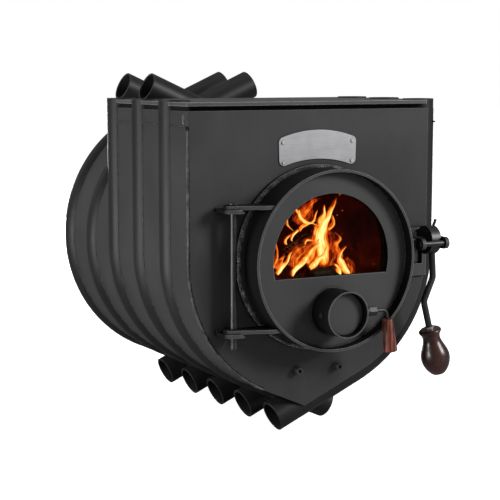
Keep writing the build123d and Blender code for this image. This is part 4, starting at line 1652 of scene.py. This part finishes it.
@dataclass
class Studio:
    """Pale floor, soft lights and camera; the glow's and the camera's places are in millimetres."""

    datum: Datum
    lens: float = 104.67
    sensor: float = 36.0
    clip: tuple[float, float] = (0.05, 60.0)
    azimuth: float = -28.294
    pitch: float = 7.972
    distance: float = 2158.6
    target: Point = (-115.431, 0.0, -18.153)
    rise: float = 0.0472
    ambient: float = 0.2
    glow_power: float = 0.08
    glow_color: Color = (1.0, 0.22, 0.04)
    glow_radius: float = 0.03
    glow_place: Point = (20, 90, 20)
    floor_reach: float = 14.0
    floor_steps: int = 8
    floor_height: float = -0.0005
    floor_tones: tuple[Color, Color] = ((0.86, 0.86, 0.86), (0.90, 0.90, 0.90))
    floor_bounce: Color = (0.38, 0.38, 0.38)
    floor_glow: float = 0.97
    floor_roughness: float = 0.6
    floor_specular: float = 0.2
    softboxes: tuple[Softbox, ...] = (
        Softbox("key", (2.2, -2.8, 1.8), (0.0, 0.0, 0.30), (1.2, 1.2), 100.0),
        Softbox("side", (-3.0, -0.2, 0.15), (0.0, 0.1, 0.25), (1.6, 1.5), 38.0),
        Softbox("bounce", (-1.3, -0.15, 0.10), (-0.15, 0.10, 0.10), (0.9, 0.16), 6.0),
        Softbox("top", (0.0, 0.1, 2.8), (0.0, 0.0, 0.2), (2.4, 2.4), 7.0),
        Softbox("rim", (-1.8, 2.4, 1.8), (0.0, 0.0, 0.3), (1.2, 2.2), 5.0),
        Softbox("back", (0.9, 3.0, 0.20), (0.0, 0.3, 0.20), (1.6, 0.38), 60.0),
    )

    def build_camera(self) -> bpy.types.Object:
        """Place the camera at the photograph's angle.

        Returns:
            The camera.
        """
        turn, tip = math.radians(self.azimuth), math.radians(self.pitch)
        look = Vector((-math.sin(turn) * math.cos(tip), math.cos(turn) * math.cos(tip), -math.sin(tip)))
        data = bpy.data.cameras.new("camera")
        data.lens = self.lens
        data.sensor_width = self.sensor
        data.shift_y = self.rise
        data.clip_start, data.clip_end = self.clip
        camera = bpy.data.objects.new("camera", data)
        camera.location = self.datum.at(*self.target) - look * self.distance * MM
        camera.rotation_mode = "QUATERNION"
        camera.rotation_quaternion = look.to_track_quat("-Z", "Y")
        bpy.context.scene.collection.objects.link(camera)
        bpy.context.scene.camera = camera
        return camera

    @staticmethod
    def hang(softbox: Softbox) -> bpy.types.Object:
        """Add a soft light.

        Args:
            softbox: its name, place, size and power.

        Returns:
            The light.
        """
        data = bpy.data.lights.new(softbox.name, "AREA")
        data.shape = "RECTANGLE"
        data.size, data.size_y = softbox.size
        data.energy = softbox.power
        light = bpy.data.objects.new(softbox.name, data)
        light.location = Vector(softbox.place)
        light.rotation_mode = "QUATERNION"
        light.rotation_quaternion = (Vector(softbox.aim) - Vector(softbox.place)).to_track_quat("-Z", "Y")
        bpy.context.scene.collection.objects.link(light)
        return light

    def build_lights(self) -> list[bpy.types.Object]:
        """Set up the softboxes, the glow of the fire and the pale surroundings.

        Returns:
            The lights.
        """
        lights = [self.hang(softbox) for softbox in self.softboxes]
        glow = bpy.data.lights.new("fire_glow", "POINT")
        glow.energy = self.glow_power
        glow.color = self.glow_color
        glow.shadow_soft_size = self.glow_radius
        lamp = bpy.data.objects.new("fire_glow", glow)
        lamp.location = self.datum.at(*self.glow_place)
        lamp.visible_camera = False
        lamp.visible_transmission = False
        bpy.context.scene.collection.objects.link(lamp)
        world = bpy.data.worlds.new("studio")
        world.use_nodes = True
        tree = Tree(world.node_tree)
        seen = tree.add("LightPath").outputs["Is Camera Ray"]
        backdrop = world.node_tree.nodes["Background"]
        settle(backdrop, {"Color": (*WHITE, 1.0)})
        tree.feed(backdrop, {"Strength": tree.span(seen, 0.0, 1.0, self.ambient, 1.0)})
        bpy.context.scene.world = world
        return lights + [lamp]

    def build_floor(self) -> bpy.types.Object:
        """Lay the pale floor, which throws less light on the stove than the camera sees on it.

        Returns:
            The floor.
        """
        material, tree, bsdf = surface("studio_floor")
        tone = tree.noise(tree.place(), 3.0, 4.0)
        seen = tree.add("LightPath").outputs["Is Camera Ray"]
        pale = tree.mix(tone, *self.floor_tones)
        tree.feed(bsdf, {"Base Color": tree.mix(seen, self.floor_bounce, pale),
                         "Emission Color": tree.mix(seen, BLACK, WHITE)})
        settle(bsdf, {"Emission Strength": self.floor_glow, "Roughness": self.floor_roughness,
                      "Specular IOR Level": self.floor_specular})
        steps = range(self.floor_steps + 1)
        marks = [self.floor_reach * (2 * step / self.floor_steps - 1) for step in steps]
        points = [(x, y, self.floor_height) for y in marks for x in marks]
        mesh = bpy.data.meshes.new("studio_floor")
        mesh.from_pydata(points, [], sheet_faces(len(marks), len(marks)))
        mesh.materials.append(material)
        floor = bpy.data.objects.new("studio_floor", mesh)
        bpy.context.scene.collection.objects.link(floor)
        return floor


def report(part: str, pieces: Iterable[bpy.types.Object]) -> None:
    """Log the name of each piece of a sub-assembly."""
    for piece in pieces:
        LOG.info("%s: %s", part, piece.name)


def main() -> None:
    """Build the stove's looks in order and report each piece."""
    logging.basicConfig(level=logging.INFO, format="%(name)s: %(message)s")
    datum = Datum()
    finishes = Finishes()
    shell = Shell(datum, finishes)
    shell.dress()
    report("shell", shell.build())
    door = Door(datum, finishes)
    door.dress()
    report("door", [door.build_seal(), door.build_welds()])
    fittings = Fittings(datum, finishes)
    fittings.dress()
    report("fittings", [fittings.build()])
    fire = Fire(datum, finishes)
    report("fire", [*fire.build_flames(), *fire.build_logs(), fire.build_haze()])
    studio = Studio(datum)
    report("studio", [*studio.build_lights(), studio.build_floor(), studio.build_camera()])
    bpy.context.scene.view_settings.view_transform = "Standard"


if __name__ == "__main__":
    main()
